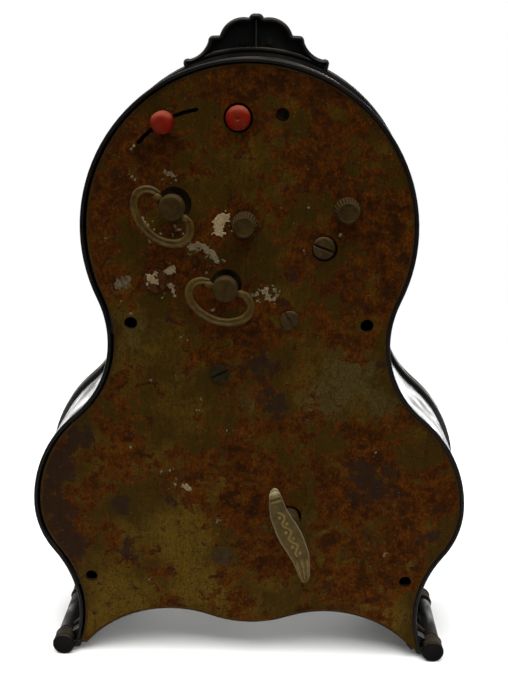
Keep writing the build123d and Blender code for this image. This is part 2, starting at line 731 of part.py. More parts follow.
def red_knob():
    """Moulded cap on the end of the lever's stem."""
    knob = polar(LEVER_PIVOT, LEVER_R, LEVER_ANGLE)
    cap = disc(knob, LEVER_KNOB_R, *LEVER_KNOB)
    edges = cap.edges().filter_by(GeomType.CIRCLE).sort_by(Axis.Y)
    cap = fillet([edges[-1]], 2.0)
    return cap - disc(knob, STEM_R, STEM_END, LEVER_KNOB[1])




def red_button():
    """Domed push button with a collar that stops it under the back plate."""
    cap = disc(BUTTON, 4.45, -4.6, 1.5)
    edges = cap.edges().filter_by(GeomType.CIRCLE).sort_by(Axis.Y)
    cap = fillet([edges[-1]], 1.5)
    cap -= disc(BUTTON, 0.7, -4.6, -4.2)
    collar = disc(BUTTON, 6.2, 1.5, 2.2)
    return cap + collar


def button_spring():
    """Short return spring between the button's collar and the rear movement plate."""
    return ring(BUTTON, 3.7, 3.0, 2.2, REAR_PLATE[0])


# ---- Dial side ---------------------------------------------------------------------------------------
DIAL_R = 48.0
DIAL = (42.9, 43.8)
BEZEL = (45.0, 54.0)
BEZEL_R = 52.0
GLASS = (51.6, 53.0)
ALARM_HAND = (45.6, 46.1)
HOUR_HAND = (47.2, 47.7)
MINUTE_HAND = (48.8, 49.3)
HOUR_ANGLE = 90 - 10.15 * 30
MINUTE_ANGLE = 90 - 9.0 * 6
ALARM_ANGLE = 90 - 7.0 * 30


def dial():
    return ring(HAND_SET, DIAL_R, 4.4, *DIAL)


def bezel():
    """Turned ring that holds the glass in a rebate and clamps against the front panel."""
    outer = BEZEL_R
    body = ring(HAND_SET, outer, DIAL_R - 3.0, *BEZEL)
    front = body.edges().filter_by(GeomType.CIRCLE).filter_by(lambda e: abs(e.radius - outer) < 0.01)
    body = fillet(front.sort_by(Axis.Y)[:1], 3.0)
    body -= disc(HAND_SET, DIAL_R - 1.6, GLASS[0], GLASS[1])
    return body


def dial_glass():
    return disc(HAND_SET, DIAL_R - 1.6, *GLASS)


def hand(place, length, tail, width, limits, angle, eye, bore):
    """A leaf shaped hand with an eye that fits its pipe."""
    leaf = make_face(Polyline((0, width * 0.3), (length * 0.55, width / 2), (length, 0.15),
                              (length, -0.15), (length * 0.55, -width / 2), (0, -width * 0.3), close=True))
    leaf += Pos(-tail / 2, 0) * Rectangle(tail, width * 0.5)
    leaf += Circle(eye)
    leaf -= Circle(bore)
    return slab(along(place, angle, leaf), *limits)


def centre_arbor():
    """Through arbor with its pinion and the cannon pinion that drives the motion work."""
    arbor = disc(HAND_SET, ARBOR_R, -3.0, MINUTE_HAND[1] + 0.8)
    arbor += toothed(HAND_SET, GREAT[1], GREAT_MODULE, 8.2, 11.2, phase=CENTRE_PINION_PHASE)
    return arbor


def centre_wheel():
    return toothed(HAND_SET, CENTRE[0], FINE, 20.0, 21.0, bore=ARBOR_R, spokes=4)


def cannon_pinion():
    pinion = toothed(HAND_SET, CANNON_TEETH, FINE, 29.4, 31.4, bore=ARBOR_R)
    return pinion + ring(HAND_SET, 2.1, ARBOR_R, 31.4, MINUTE_HAND[0])


def minute_wheel():
    wheel = toothed(MINUTE_PLACE, MINUTE_TEETH, FINE, 29.9, 30.9, bore=1.0 + RUN, phase=MINUTE_PHASE)
    wheel += toothed(MINUTE_PLACE, MINUTE_PINION_TEETH, HOUR_MODULE, 30.9, 33.8, bore=1.0 + RUN)
    return wheel


def minute_stud():
    stud_body = disc(MINUTE_PLACE, 1.0, FRONT_PLATE[0], 34.4)
    stud_body += disc(MINUTE_PLACE, 1.8, 34.0, 34.4)
    stud_body += disc(MINUTE_PLACE, 1.8, FRONT_PLATE[1], 29.7)
    return stud_body


def hour_wheel():
    wheel = toothed(HAND_SET, HOUR_TEETH, HOUR_MODULE, 32.6, 33.5, bore=2.1 + RUN, phase=HOUR_PHASE)
    return wheel + ring(HAND_SET, 2.9, 2.1 + RUN, 33.5, HOUR_HAND[1])


def alarm_wheel():
    wheel = toothed(HAND_SET, ALARM_TEETH, ALARM_MODULE, 36.0, 37.0, bore=2.9 + RUN,
                    phase=ALARM_PHASE, spokes=4)
    return wheel + ring(HAND_SET, 3.9, 2.9 + RUN, 37.0, ALARM_HAND[1])


def alarm_set_arbor():
    arbor = disc(ALARM_SET, ARBOR_R, -3.0, 38.0)
    arbor += toothed(ALARM_SET, ALARM_SET_TEETH, ALARM_MODULE, 35.8, 37.2)
    return arbor


def spindle(place, radius, near, far):
    """An arbor that turns in both movement plates on its pivots."""
    body = disc(place, radius, REAR_PLATE[1] + 0.1, FRONT_PLATE[0] - 0.1)
    return body + disc(place, PIVOT_R, near, far)


def third_wheel():
    wheel = toothed(THIRD_PLACE, THIRD[0], FINE, 12.6, 13.4, bore=1.3, spokes=4)
    wheel += toothed(THIRD_PLACE, CENTRE[1], FINE, 19.0, 22.0, phase=THIRD_PINION_PHASE)
    return wheel + spindle(THIRD_PLACE, 1.3, REAR_PLATE[0], FRONT_PLATE[1])


def escape_wheel():
    """Fifteen raked teeth on a crossed wheel, with its pinion."""
    teeth = 15
    points = []
    for tooth in range(teeth):
        angle = tooth * 360 / teeth
        points.append(polar((0, 0), ESCAPE_R - 2.2, angle))
        points.append(polar((0, 0), ESCAPE_R, angle + 4.0))
        points.append(polar((0, 0), ESCAPE_R, angle + 6.0))
        points.append(polar((0, 0), ESCAPE_R - 2.2, angle + 12.0))
    face = make_face(Polyline(*points, close=True))
    face -= Circle(ESCAPE_R - 3.3) - Circle(2.6)
    for spoke in range(4):
        face += Rot(0, 0, spoke * 90) * Pos(3.6, 0) * Rectangle(3.4, 0.9)
    wheel = slab(Pos(*ESCAPE_PLACE) * face, 16.6, 17.3)
    wheel += toothed(ESCAPE_PLACE, THIRD[1], FINE, 11.8, 14.4, phase=ESCAPE_PINION_PHASE)
    return wheel + spindle(ESCAPE_PLACE, 1.0, REAR_PLATE[0], FRONT_PLATE[1])


def pallet_fork():
    """Anchor with two pins over the escape wheel and a forked tail at the balance."""
    to_escape = degrees(atan2(ESCAPE_PLACE[1] - PALLET_PLACE[1], ESCAPE_PLACE[0] - PALLET_PLACE[0]))
    to_balance = degrees(atan2(BALANCE_PLACE[1] - PALLET_PLACE[1], BALANCE_PLACE[0] - PALLET_PLACE[0]))
    fork = disc(PALLET_PLACE, 2.0, 18.0, 18.9)
    for side in (-1, 1):
        arm = along(PALLET_PLACE, to_escape + side * 58, Pos(2.9, 0) * Rectangle(5.8, 1.3))
        fork += slab(arm, 18.0, 18.9)
        fork += disc(polar(PALLET_PLACE, 5.4, to_escape + side * 58), 0.45, 16.4, 18.0)
    tail = along(PALLET_PLACE, to_balance, Pos(4.4, 0) * Rectangle(8.8, 1.2))
    fork += slab(tail, 18.0, 18.9)
    prong = Rectangle(2.6, 3.4) - Pos(0.8, 0) * Rectangle(2.4, 1.6)
    prong = along(PALLET_PLACE, to_balance, Pos(9.2, 0) * prong)
    fork += slab(prong, 18.0, 18.9)
    return fork + spindle(PALLET_PLACE, 1.0, REAR_PLATE[0], FRONT_PLATE[1])


def balance_wheel():
    face = Circle(BALANCE_R) - Circle(BALANCE_R - 1.3) + Rectangle(2 * BALANCE_R - 1.6, 1.5) + Circle(2.0)
    wheel = slab(Pos(*BALANCE_PLACE) * face, 22.2, 23.6)
    wheel += disc(BALANCE_PLACE, 1.5, 19.6, 20.4)
    return wheel + spindle(BALANCE_PLACE, 0.9, REAR_PLATE[0], FRONT_PLATE[1])


# ---- Musical movement ------------------------------------------------------------------------------
BED = (6.0, 8.4)
BED_X = (-49.0, 17.5)
BED_Z = (37.0, 131.0)
MUSIC_BARREL = (10.4, 22.4)
MUSIC_BARREL_R = 14.0
BRIDGE = (23.4, 25.0)
CYLINDER_Z = 96.0
CYLINDER_R = 7.0
CYLINDER_X = (-41.0, -4.0)
CYLINDER_DEPTH = 18.0
COMB_LAST_Z = 122.0
COMB_DEPTH = (17.4, 18.6)
COMB_TEETH = 18
COMB_SCREW_X = (-35.0, -22.5, -10.0)
FLY_PLACE = (8.0, 84.0)


def along_x(z, depth, radius, left, right):
    """A round bar along X."""
    frame = Plane(origin=(left, BACK_Y - depth, z), x_dir=(0, 1, 0), z_dir=(1, 0, 0))
    return extrude(frame * Circle(radius), right - left)


def music_bedplate():
    """Cast bed on four pads; its rear holes take the two fixings from the back plate."""
    plate = block(BED_X, BED_Z, *BED)
    corners = plate.edges().filter_by(Axis.Y)
    plate = fillet(corners, 4.0)
    for place in (SCREW_MUSIC, RIVET):
        plate += disc(place, 4.0, PLATE_T, BED[0])
        plate -= disc(place, FOOT_BORE, 0, BED[1])
    plate -= disc(MUSIC_KEY, 2.4 + RUN, *BED)
    return plate


def music_screw():
    return slotted_screw(SCREW_MUSIC, 3.85, 1.4, FOOT_BORE, 7.5, SLOT_ANGLES["music"])


def music_rivet():
    """Flush plug: a low domed head over a shank that is closed into the bedplate's boss."""
    head = disc(RIVET, 4.2, -0.5, 0)
    return head + disc(RIVET, FOOT_BORE, 0, BED[1])


def barrel_bridge():
    """Strap on two posts that carries the front end of the music barrel's arbor."""
    reach = MUSIC_BARREL_R + 7.0
    bridge = slab(Pos(*MUSIC_KEY) * Rectangle(2 * reach, 10), *BRIDGE)
    for side in (-1, 1):
        bridge += disc((MUSIC_KEY[0] + side * (reach - 3), MUSIC_KEY[1]), 2.6, BED[1], BRIDGE[0])
    return bridge - disc(MUSIC_KEY, 1.2 + RUN, *BRIDGE)


def cylinder_bearings():
    """Two upright lugs on the bedplate, one at each end of the pinned cylinder."""
    lugs = []
    for x in (CYLINDER_X[0] - 4.0, CYLINDER_X[1] + 2.0):
        lug = block((x, x + 2.0), (CYLINDER_Z - 4, CYLINDER_Z + 4), BED[1], CYLINDER_DEPTH + 4)
        lug -= along_x(CYLINDER_Z, CYLINDER_DEPTH, 1.5 + RUN, x - 1, x + 3)
        lugs.append(lug.solids()[0])
    return lugs


def pinned_cylinder():
    """Brass cylinder with rows of pins, on its arbor."""
    body = along_x(CYLINDER_Z, CYLINDER_DEPTH, CYLINDER_R, *CYLINDER_X)
    body += along_x(CYLINDER_Z, CYLINDER_DEPTH, 1.5, CYLINDER_X[0] - 5.0, CYLINDER_X[1] + 5.5)
    pitch = (CYLINDER_X[1] - CYLINDER_X[0]) / COMB_TEETH
    pins = []
    for row in range(COMB_TEETH):
        x = CYLINDER_X[0] + (row + 0.5) * pitch
        for pin in range(2):
            angle = 47 + row * 67 + pin * 151
            frame = Plane(origin=(x, BACK_Y - CYLINDER_DEPTH, CYLINDER_Z),
                          x_dir=(1, 0, 0), z_dir=(0, cos(radians(angle)), sin(radians(angle))))
            pins.append(extrude(frame * Pos(0, 0, CYLINDER_R - 1.0) * Circle(0.25), 1.5))
    return body + pins


def music_comb():
    """Tuned steel comb; its teeth end just clear of the pins."""
    tip_z = CYLINDER_Z + CYLINDER_R + 0.9
    base = block(CYLINDER_X, (COMB_LAST_Z - 11, COMB_LAST_Z), *COMB_DEPTH)
    pitch = (CYLINDER_X[1] - CYLINDER_X[0]) / COMB_TEETH
    for row in range(COMB_TEETH):
        x = CYLINDER_X[0] + (row + 0.5) * pitch
        base += block((x - pitch * 0.4, x + pitch * 0.4), (tip_z, COMB_LAST_Z - 11), *COMB_DEPTH)
    for x in COMB_SCREW_X:
        base -= disc((x, COMB_LAST_Z - 5), 1.3, *COMB_DEPTH)
    return base


def comb_block():
    riser = block(CYLINDER_X, (COMB_LAST_Z - 9, COMB_LAST_Z), BED[1], COMB_DEPTH[0])
    for x in COMB_SCREW_X:
        riser -= disc((x, COMB_LAST_Z - 5), 1.3, COMB_DEPTH[0] - 6, COMB_DEPTH[0])
    return riser


def comb_screws():
    """Three cheese head screws that clamp the comb to its riser, from the dial side."""
    screws = []
    for x in COMB_SCREW_X:
        place = (x, COMB_LAST_Z - 5)
        head = disc(place, 2.3, COMB_DEPTH[1], COMB_DEPTH[1] + 1.6)
        head -= slab(along(place, 20, Rectangle(6, 0.6)), COMB_DEPTH[1] + 0.9, COMB_DEPTH[1] + 1.7)
        screws.append((head + disc(place, 1.3, COMB_DEPTH[0] - 6, COMB_DEPTH[1])).solids()[0])
    return Compound(children=screws)


def governor_frame():
    """Bracket with two arms that hold the fly's upright arbor."""
    x, z = FLY_PLACE
    frame = block((x - 4, x + 4), (z - 13, z + 13), BED[1], BED[1] + 1.6)
    for end in (-1, 1):
        low = z + end * 12 - 1
        arm = block((x - 3, x + 3), (low, low + 2), BED[1] + 1.6, 21.0)
        hole = Plane(origin=(x, BACK_Y - 17, low - 1), z_dir=(0, 0, 1)) * Circle(0.8 + RUN)
        frame += arm - extrude(hole, 4)
    return frame


def governor_fly():
    """Upright arbor with a driving sleeve and a flat vane."""
    x, z = FLY_PLACE
    base = Plane(origin=(x, BACK_Y - 17, z - 13), z_dir=(0, 0, 1))
    fly = extrude(base * Circle(0.8), 26)
    fly += extrude(Plane(origin=(x, BACK_Y - 17, z - 9), z_dir=(0, 0, 1)) * Circle(1.5), 8)
    vane = Plane(origin=(x, BACK_Y - 17, z + 1), z_dir=(0, 0, 1)) * Rectangle(9.0, 0.7)
    return fly + extrude(vane, 7)


# ---- Bank ----------------------------------------------------------------------------------------------
SLOT_PIN_X = (-16.5, 16.5)
TRIP_WINDOW_X = (10.0, 14.0)
TRIP_WINDOW_Z = (80.0, 101.0)
TRIP_PIVOT = (97.0, 31.5)
TRIP_X = (10.6, 13.4)
TRIP_TIP = 42.6


def coin_slot_plate():
    """Escutcheon on the front panel, with the slot through it."""
    plate = slab(Pos(0, SLOT_Z) * RectangleRounded(38, 13, 3), PANEL_FRONT, PANEL_FRONT + 1.2)
    slot = Pos(0, SLOT_Z) * Rectangle(*SLOT_SIZE)
    plate -= slab(slot, PANEL_FRONT, PANEL_FRONT + 1.2)
    for x in SLOT_PIN_X:
        plate -= disc((x, SLOT_Z), 0.9, PANEL_FRONT, PANEL_FRONT + 1.2)
    return plate


def slot_plate_pins():
    pins = []
    for x in SLOT_PIN_X:
        head = disc((x, SLOT_Z), 1.4, PANEL_FRONT + 1.2, PANEL_FRONT + 1.8)
        pins.append((head + disc((x, SLOT_Z), 0.9, PANEL_FRONT, PANEL_FRONT + 1.2)).solids()[0])
    return pins


def coin_chute():
    """Flat channel behind the slot; its back wall has a window for the trip finger."""
    half = CHUTE_INNER[0] / 2
    low, high = CHUTE_Z
    back = CHUTE_BACK
    inner_back = PANEL_BACK - CHUTE_INNER[1]
    chute = block((-half - 1, half + 1), (low, high), back, inner_back)
    for side in (-1, 1):
        wall = sorted((side * half, side * (half + 1)))
        chute += block(wall, (low, high), inner_back, PANEL_BACK)
    chute += block((-half - 1, half + 1), (high, high + 1), back, PANEL_BACK)
    return chute - block(TRIP_WINDOW_X, TRIP_WINDOW_Z, back, inner_back)


def coin_trip_lever():
    """Bell crank: a finger lies across the coin's path, and a tail stops the fly's vanes."""
    z, depth = TRIP_PIVOT
    lever = along_x(z, depth, 2.4, *TRIP_X)
    lever += block(TRIP_X, (z - 1.2, z + 1.2), depth, TRIP_TIP)
    lever += block(TRIP_X, (z - 12.0, z + 1.0), depth - 2.2, depth)
    return lever - along_x(z, depth, 1.2 + RUN, TRIP_X[0] - 1, TRIP_X[1] + 1)


def trip_bracket():
    """Fork screwed to the chute's back wall that carries the trip lever's pin."""
    z, depth = TRIP_PIVOT
    fork = along_x(z, depth, 1.2, TRIP_X[0] - 2.2, TRIP_X[1] + 2.2)
    for left in (TRIP_X[0] - 1.5, TRIP_X[1] + 0.3):
        fork += block((left, left + 1.2), (z - 3, z + 3), depth - 2.4, CHUTE_BACK)
    return fork


def coin_tray():
    """Open topped tray on the inside of the front panel, under the chute."""
    x = (-TRAY_X, TRAY_X)
    tray = block(x, TRAY_Z, TRAY_BACK, PANEL_BACK)
    return tray - block((x[0] + 1, x[1] - 1), (TRAY_Z[0] + 1, TRAY_Z[1] + 1), TRAY_BACK + 1, PANEL_BACK)


# ---- Screws on the back ---------------------------------------------------------------------------------
SLOT_ANGLES = {"upper": 21.0, "lower": 57.0, "music": -25.0, "side": 60.0}
TIME_STAND = 11.6
ALARM_STAND = 9.6
TIME_FOLD_ANGLE = 38.2
ALARM_FOLD_ANGLE = 15.7


def movement_screws():
    """Three screws through the back plate into the pillars; the heads differ a little."""
    screws = [
        slotted_screw(SCREW_UPPER, 4.1, 1.9, FOOT_BORE, 9.0, SLOT_ANGLES["upper"]),
        slotted_screw(SCREW_SIDE, 4.5, 1.7, FOOT_BORE, 9.0, SLOT_ANGLES["side"]),
        slotted_screw(SCREW_LOWER, 3.7, 1.0, FOOT_BORE, 9.0, SLOT_ANGLES["lower"]),
    ]
    return Compound(children=[screw.solids()[0] for screw in screws])


# ---- The whole object -------------------------------------------------------------------------------------
TIME_BARREL = (9.0, 19.0)
ALARM_BARREL = (9.0, 18.0)

write("case_band", case_band())
write("bottom_strip", bottom_strip())
write("front_moulding", front_moulding())
write("front_panel", front_panel())
write("back_plate", back_plate())
write("runner_bars", Compound(children=[runner(side).solids()[0] for side in (-1, 1)]))
write("runner_caps", runner_caps())
write("runner_studs", runner_studs())
write("crest", crest())
write("crest_rivets", crest_rivets())

write("dial", dial())
write("bezel", bezel())
write("dial_glass", dial_glass())
write("minute_hand", hand(HAND_SET, 38, 8, 3.0, MINUTE_HAND, MINUTE_ANGLE, 3.0, ARBOR_R))
write("hour_hand", hand(HAND_SET, 26, 7, 4.4, HOUR_HAND, HOUR_ANGLE, 4.4, 2.9))
write("alarm_hand", hand(HAND_SET, 18, 6, 2.0, ALARM_HAND, ALARM_ANGLE, 5.2, 3.9))

write("movement_rear_plate", movement_plate(REAR_PLATE, True) + lever_stud())
write("movement_front_plate", movement_plate(FRONT_PLATE, False) + minute_stud())
write("movement_pillars", movement_pillars())
write("movement_screws", movement_screws())
write("centre_arbor", centre_arbor() + centre_wheel() + cannon_pinion())
write("minute_wheel", minute_wheel())
write("hour_wheel", hour_wheel())
write("alarm_wheel", alarm_wheel())
write("alarm_set_arbor", alarm_set_arbor())
write("third_wheel", third_wheel())
write("escape_wheel", escape_wheel())
write("pallet_fork", pallet_fork())
write("balance_wheel", balance_wheel())
write("time_barrel", barrel(TIME_KEY, 16.0, *TIME_BARREL, GREAT[0], GREAT_MODULE))
write("alarm_barrel", barrel(ALARM_KEY, 10.0, *ALARM_BARREL))
write("time_mainspring", mainspring(TIME_KEY, 3.0, 14.0, 10.6, 17.6, 8))
write("time_key_arbor", key_arbor(TIME_KEY, FRONT_PLATE[1], *TIME_BARREL))
write("alarm_key_arbor", key_arbor(ALARM_KEY, FRONT_PLATE[1], *ALARM_BARREL))

write("time_key_hub", key_hub(TIME_KEY, TIME_STAND, TIME_FOLD_ANGLE))
write("time_key_loop", key_loop(TIME_KEY, TIME_STAND, TIME_FOLD_ANGLE))
write("alarm_key_hub", key_hub(ALARM_KEY, ALARM_STAND, ALARM_FOLD_ANGLE))
write("alarm_key_loop", key_loop(ALARM_KEY, ALARM_STAND, ALARM_FOLD_ANGLE))
write("hand_set_knob", setting_knob(HAND_SET))
write("alarm_set_knob", setting_knob(ALARM_SET))
write("stop_lever", stop_lever())
write("stop_lever_knob", red_knob())
write("push_button", red_button())
write("button_spring", button_spring())

write("music_handle", music_handle())
write("music_arbor", music_hub() + music_arbor())
write("music_barrel", barrel(MUSIC_KEY, MUSIC_BARREL_R, *MUSIC_BARREL))
write("music_bedplate", music_bedplate() + comb_block() + cylinder_bearings())
write("music_screw", music_screw())
write("music_rivet", music_rivet())
write("barrel_bridge", barrel_bridge())
write("pinned_cylinder", pinned_cylinder())
write("music_comb", music_comb())
write("comb_screws", comb_screws())
write("governor_frame", governor_frame())
write("governor_fly", governor_fly())

write("coin_slot_plate", coin_slot_plate() + slot_plate_pins())
write("coin_chute", coin_chute() + trip_bracket())
write("coin_trip_lever", coin_trip_lever())
write("coin_tray", coin_tray())
print("nodes", len(os.listdir("parts")))
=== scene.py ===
import json
import math
import random

import bmesh
import bpy
from mathutils import Matrix, Vector, noise


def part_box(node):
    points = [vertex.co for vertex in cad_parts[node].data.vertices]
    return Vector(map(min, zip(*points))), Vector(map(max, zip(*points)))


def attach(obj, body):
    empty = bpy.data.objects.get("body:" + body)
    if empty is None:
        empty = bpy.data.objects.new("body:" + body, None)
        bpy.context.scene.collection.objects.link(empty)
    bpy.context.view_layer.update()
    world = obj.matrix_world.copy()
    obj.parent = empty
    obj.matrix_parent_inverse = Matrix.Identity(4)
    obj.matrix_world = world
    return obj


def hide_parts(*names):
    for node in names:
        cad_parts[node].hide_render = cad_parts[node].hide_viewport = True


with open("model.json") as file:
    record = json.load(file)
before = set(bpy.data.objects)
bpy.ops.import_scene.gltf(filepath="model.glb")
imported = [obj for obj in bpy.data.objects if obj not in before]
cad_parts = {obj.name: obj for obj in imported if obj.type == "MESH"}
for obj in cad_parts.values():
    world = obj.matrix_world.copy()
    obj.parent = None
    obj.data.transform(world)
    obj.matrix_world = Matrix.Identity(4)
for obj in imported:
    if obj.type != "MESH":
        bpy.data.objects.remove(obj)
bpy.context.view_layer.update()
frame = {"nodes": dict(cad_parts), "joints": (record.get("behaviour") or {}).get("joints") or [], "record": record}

# Sizes are in millimetres and turned to metres when a mesh is made. A point is
# (x, depth, z): depth runs from the outer face of the back plate towards the dial.
MM = 0.001
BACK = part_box("back_plate")[1].y / MM


# ---- Reading the frame ------------------------------------------------------
def centre_of(node):
    """(x, z) of the middle of a CAD node, in millimetres."""
    low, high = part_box(node)
    return ((low.x + high.x) / 2 / MM, (low.z + high.z) / 2 / MM)


def depths_of(node):
    """(rear, front) depths of a CAD node."""
    low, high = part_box(node)
    return (BACK - high.y / MM, BACK - low.y / MM)


def hinge_of(name):
    """Place (x, depth, z) and axis of a joint."""
    joint = next(j for j in frame["joints"] if j["name"] == name)
    x, y, z = joint["pos_m"]
    return (x / MM, BACK - y / MM, z / MM), Vector(joint["axis"])


def rim_of(node, depth):
    """The outer edge line of a CAD node's flat face at a depth, as (x, z), anticlockwise."""
    mesh = frame["nodes"][node].data
    level = (BACK - depth) * MM
    count = {}
    for polygon in mesh.polygons:
        if all(abs(mesh.vertices[i].co.y - level) < 1e-6 for i in polygon.vertices):
            for a, b in polygon.edge_keys:
                count[(a, b)] = count.get((a, b), 0) + 1
    links = {}
    for (a, b), times in count.items():
        if times == 1:
            links.setdefault(a, []).append(b)
            links.setdefault(b, []).append(a)
    loops = []
    while links:
        start = next(iter(links))
        loop = [start]
        here = start
        while links.get(here):
            following = links[here].pop()
            links[following].remove(here)
            if not links[here]:
                del links[here]
            here = following
            if here == start:
                break
            loop.append(here)
        links.pop(start, None)
        loops.append([(mesh.vertices[i].co.x / MM, mesh.vertices[i].co.z / MM) for i in loop])
    longest = max(loops, key=path_length)
    area = sum(a[0] * b[1] - b[0] * a[1] for a, b in zip(longest, longest[1:] + longest[:1]))
    return longest if area > 0 else longest[::-1]


# ---- Lines ------------------------------------------------------------------
def path_length(path):
    return sum(math.dist(a, b) for a, b in zip(path, path[1:]))


def even(path, step, closed=True):
    """The same line with points an even distance apart."""
    line = path + path[:1] if closed else list(path)
    total = path_length(line)
    count = max(8, round(total / step))
    spacing = total / count
    result = []
    walked = 0.0
    target = 0.0
    for a, b in zip(line, line[1:]):
        span = math.dist(a, b)
        while span > 0 and target <= walked + span + 1e-9 and len(result) < count:
            share = (target - walked) / span
            result.append(tuple(p + (q - p) * share for p, q in zip(a, b)))
            target += spacing
        walked += span
    if not closed:
        result.append(line[-1])
    return result


def outward(path, closed=True):
    """Unit normals to the right of the way along a line: outward when anticlockwise."""
    normals = []
    for i, point in enumerate(path):
        before = path[i - 1] if closed or i else point
        after = path[(i + 1) % len(path)] if closed or i < len(path) - 1 else point
        run = Vector((after[0] - before[0], after[1] - before[1])).normalized()
        normals.append((run.y, -run.x))
    return normals


def moved_out(path, distance, closed=True):
    pairs = zip(path, outward(path, closed))
    return [(p[0] + n[0] * distance, p[1] + n[1] * distance) for p, n in pairs]


def flowing(points, steps, closed=False):
    """A smooth line through a few points."""
    result = []
    last = len(points) if closed else len(points) - 1
    for i in range(last):
        if closed:
            knots = [points[(i + k) % len(points)] for k in (-1, 0, 1, 2)]
        else:
            knots = [points[min(max(i + k, 0), len(points) - 1)] for k in (-1, 0, 1, 2)]
        a, b, c, d = (Vector(k) for k in knots)
        for step in range(steps):
            t = step / steps
            point = 0.5 * (2 * b + (c - a) * t + (2 * a - 5 * b + 4 * c - d) * t ** 2
                           + (3 * b - a - 3 * c + d) * t ** 3)
            result.append(tuple(point))
    if not closed:
        result.append(tuple(points[-1]))
    return result


def circle(radius, count, centre=(0.0, 0.0)):
    turn = 2 * math.pi / count
    return [(centre[0] + radius * math.cos(i * turn), centre[1] + radius * math.sin(i * turn))
            for i in range(count)]


def turned_frame(centre, degrees):
    """A function that gives the point at (along, across, depth) in a frame turned about a centre."""
    x, z = centre
    cos, sin = math.cos(math.radians(degrees)), math.sin(math.radians(degrees))

    def place(along, across, depth):
        return (x + cos * along - sin * across, depth, z + sin * along + cos * across)

    return place


# ---- Shapes -----------------------------------------------------------------
class Shape:
    """Points and faces gathered before they become one mesh."""

    def __init__(self):
        self.points = []
        self.faces = []

    def add(self, points, faces):
        start = len(self.points)
        self.points += [tuple(p) for p in points]
        self.faces += [[i + start for i in face] for face in faces]
        return self

    def skin(self, rings, around=True, loop=False, caps=True):
        """Join rings of equal length; a loop also joins the last ring to the first."""
        size = len(rings[0])
        faces = []
        for i in range(len(rings) if loop else len(rings) - 1):
            j = (i + 1) % len(rings)
            for k in range(size if around else size - 1):
                m = (k + 1) % size
                faces.append([i * size + k, i * size + m, j * size + m, j * size + k])
        if caps and not loop:
            faces.append(list(range(size))[::-1])
            faces.append([(len(rings) - 1) * size + k for k in range(size)])
        return self.add([p for ring in rings for p in ring], faces)

    def turned(self, profile, centre, segments=72, wave=None):
        """Turn a profile of (radius, depth) about an axis along the depth."""
        rings = []
        for radius, depth in profile:
            ring = []
            for k in range(segments):
                angle = 2 * math.pi * k / segments
                r = radius if wave is None else wave(radius, depth, angle)
                ring.append((centre[0] + r * math.cos(angle), depth, centre[1] + r * math.sin(angle)))
            rings.append(ring)
        return self.skin(rings)

    def swept(self, path, profile, closed=True):
        """Run a profile of (outward, depth) along a line of (x, z)."""
        rings = []
        for (x, z), normal in zip(path, outward(path, closed)):
            rings.append([(x + normal[0] * out, depth, z + normal[1] * out) for out, depth in profile])
        return self.skin(rings, loop=closed)


def half_round(width, near, far, steps=8, middle=0.0):
    """A low rounded profile: flat at the near depth, crowned to the far depth."""
    arc = [math.pi * i / steps for i in range(steps + 1)]
    return [(middle + width / 2 * math.cos(a), near + (far - near) * math.sin(a)) for a in arc]


def from_base(base, pairs, way=1):
    """A profile whose depths are measured from a base, forwards or (way -1) backwards."""
    return [(radius, base + way * depth) for radius, depth in pairs]


def to_metres(point):
    x, depth, z = point
    return Vector((x * MM, (BACK - depth) * MM, z * MM))


def piece(name, shape, body, material, replaces=(), crease=38, marks=None):
    """Make a shape into a mesh object that rides on a body."""
    mesh = bpy.data.meshes.new(name)
    mesh.from_pydata([to_metres(p) for p in shape.points], [], shape.faces)
    if marks:
        for label, values in marks.items():
            mesh.attributes.new(label, "FLOAT", "POINT").data.foreach_set("value", values)
    made = bmesh.new()
    made.from_mesh(mesh)
    bmesh.ops.remove_doubles(made, verts=made.verts, dist=1e-6)
    bmesh.ops.dissolve_degenerate(made, dist=1e-7, edges=made.edges)
    bmesh.ops.recalc_face_normals(made, faces=made.faces)
    made.to_mesh(mesh)
    made.free()
    mesh.shade_smooth()
    mesh.set_sharp_from_angle(angle=math.radians(crease))
    mesh.materials.append(material)
    result = bpy.data.objects.new(name, mesh)
    bpy.context.scene.collection.objects.link(result)
    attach(result, body)
    if replaces:
        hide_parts(*replaces)
    return result


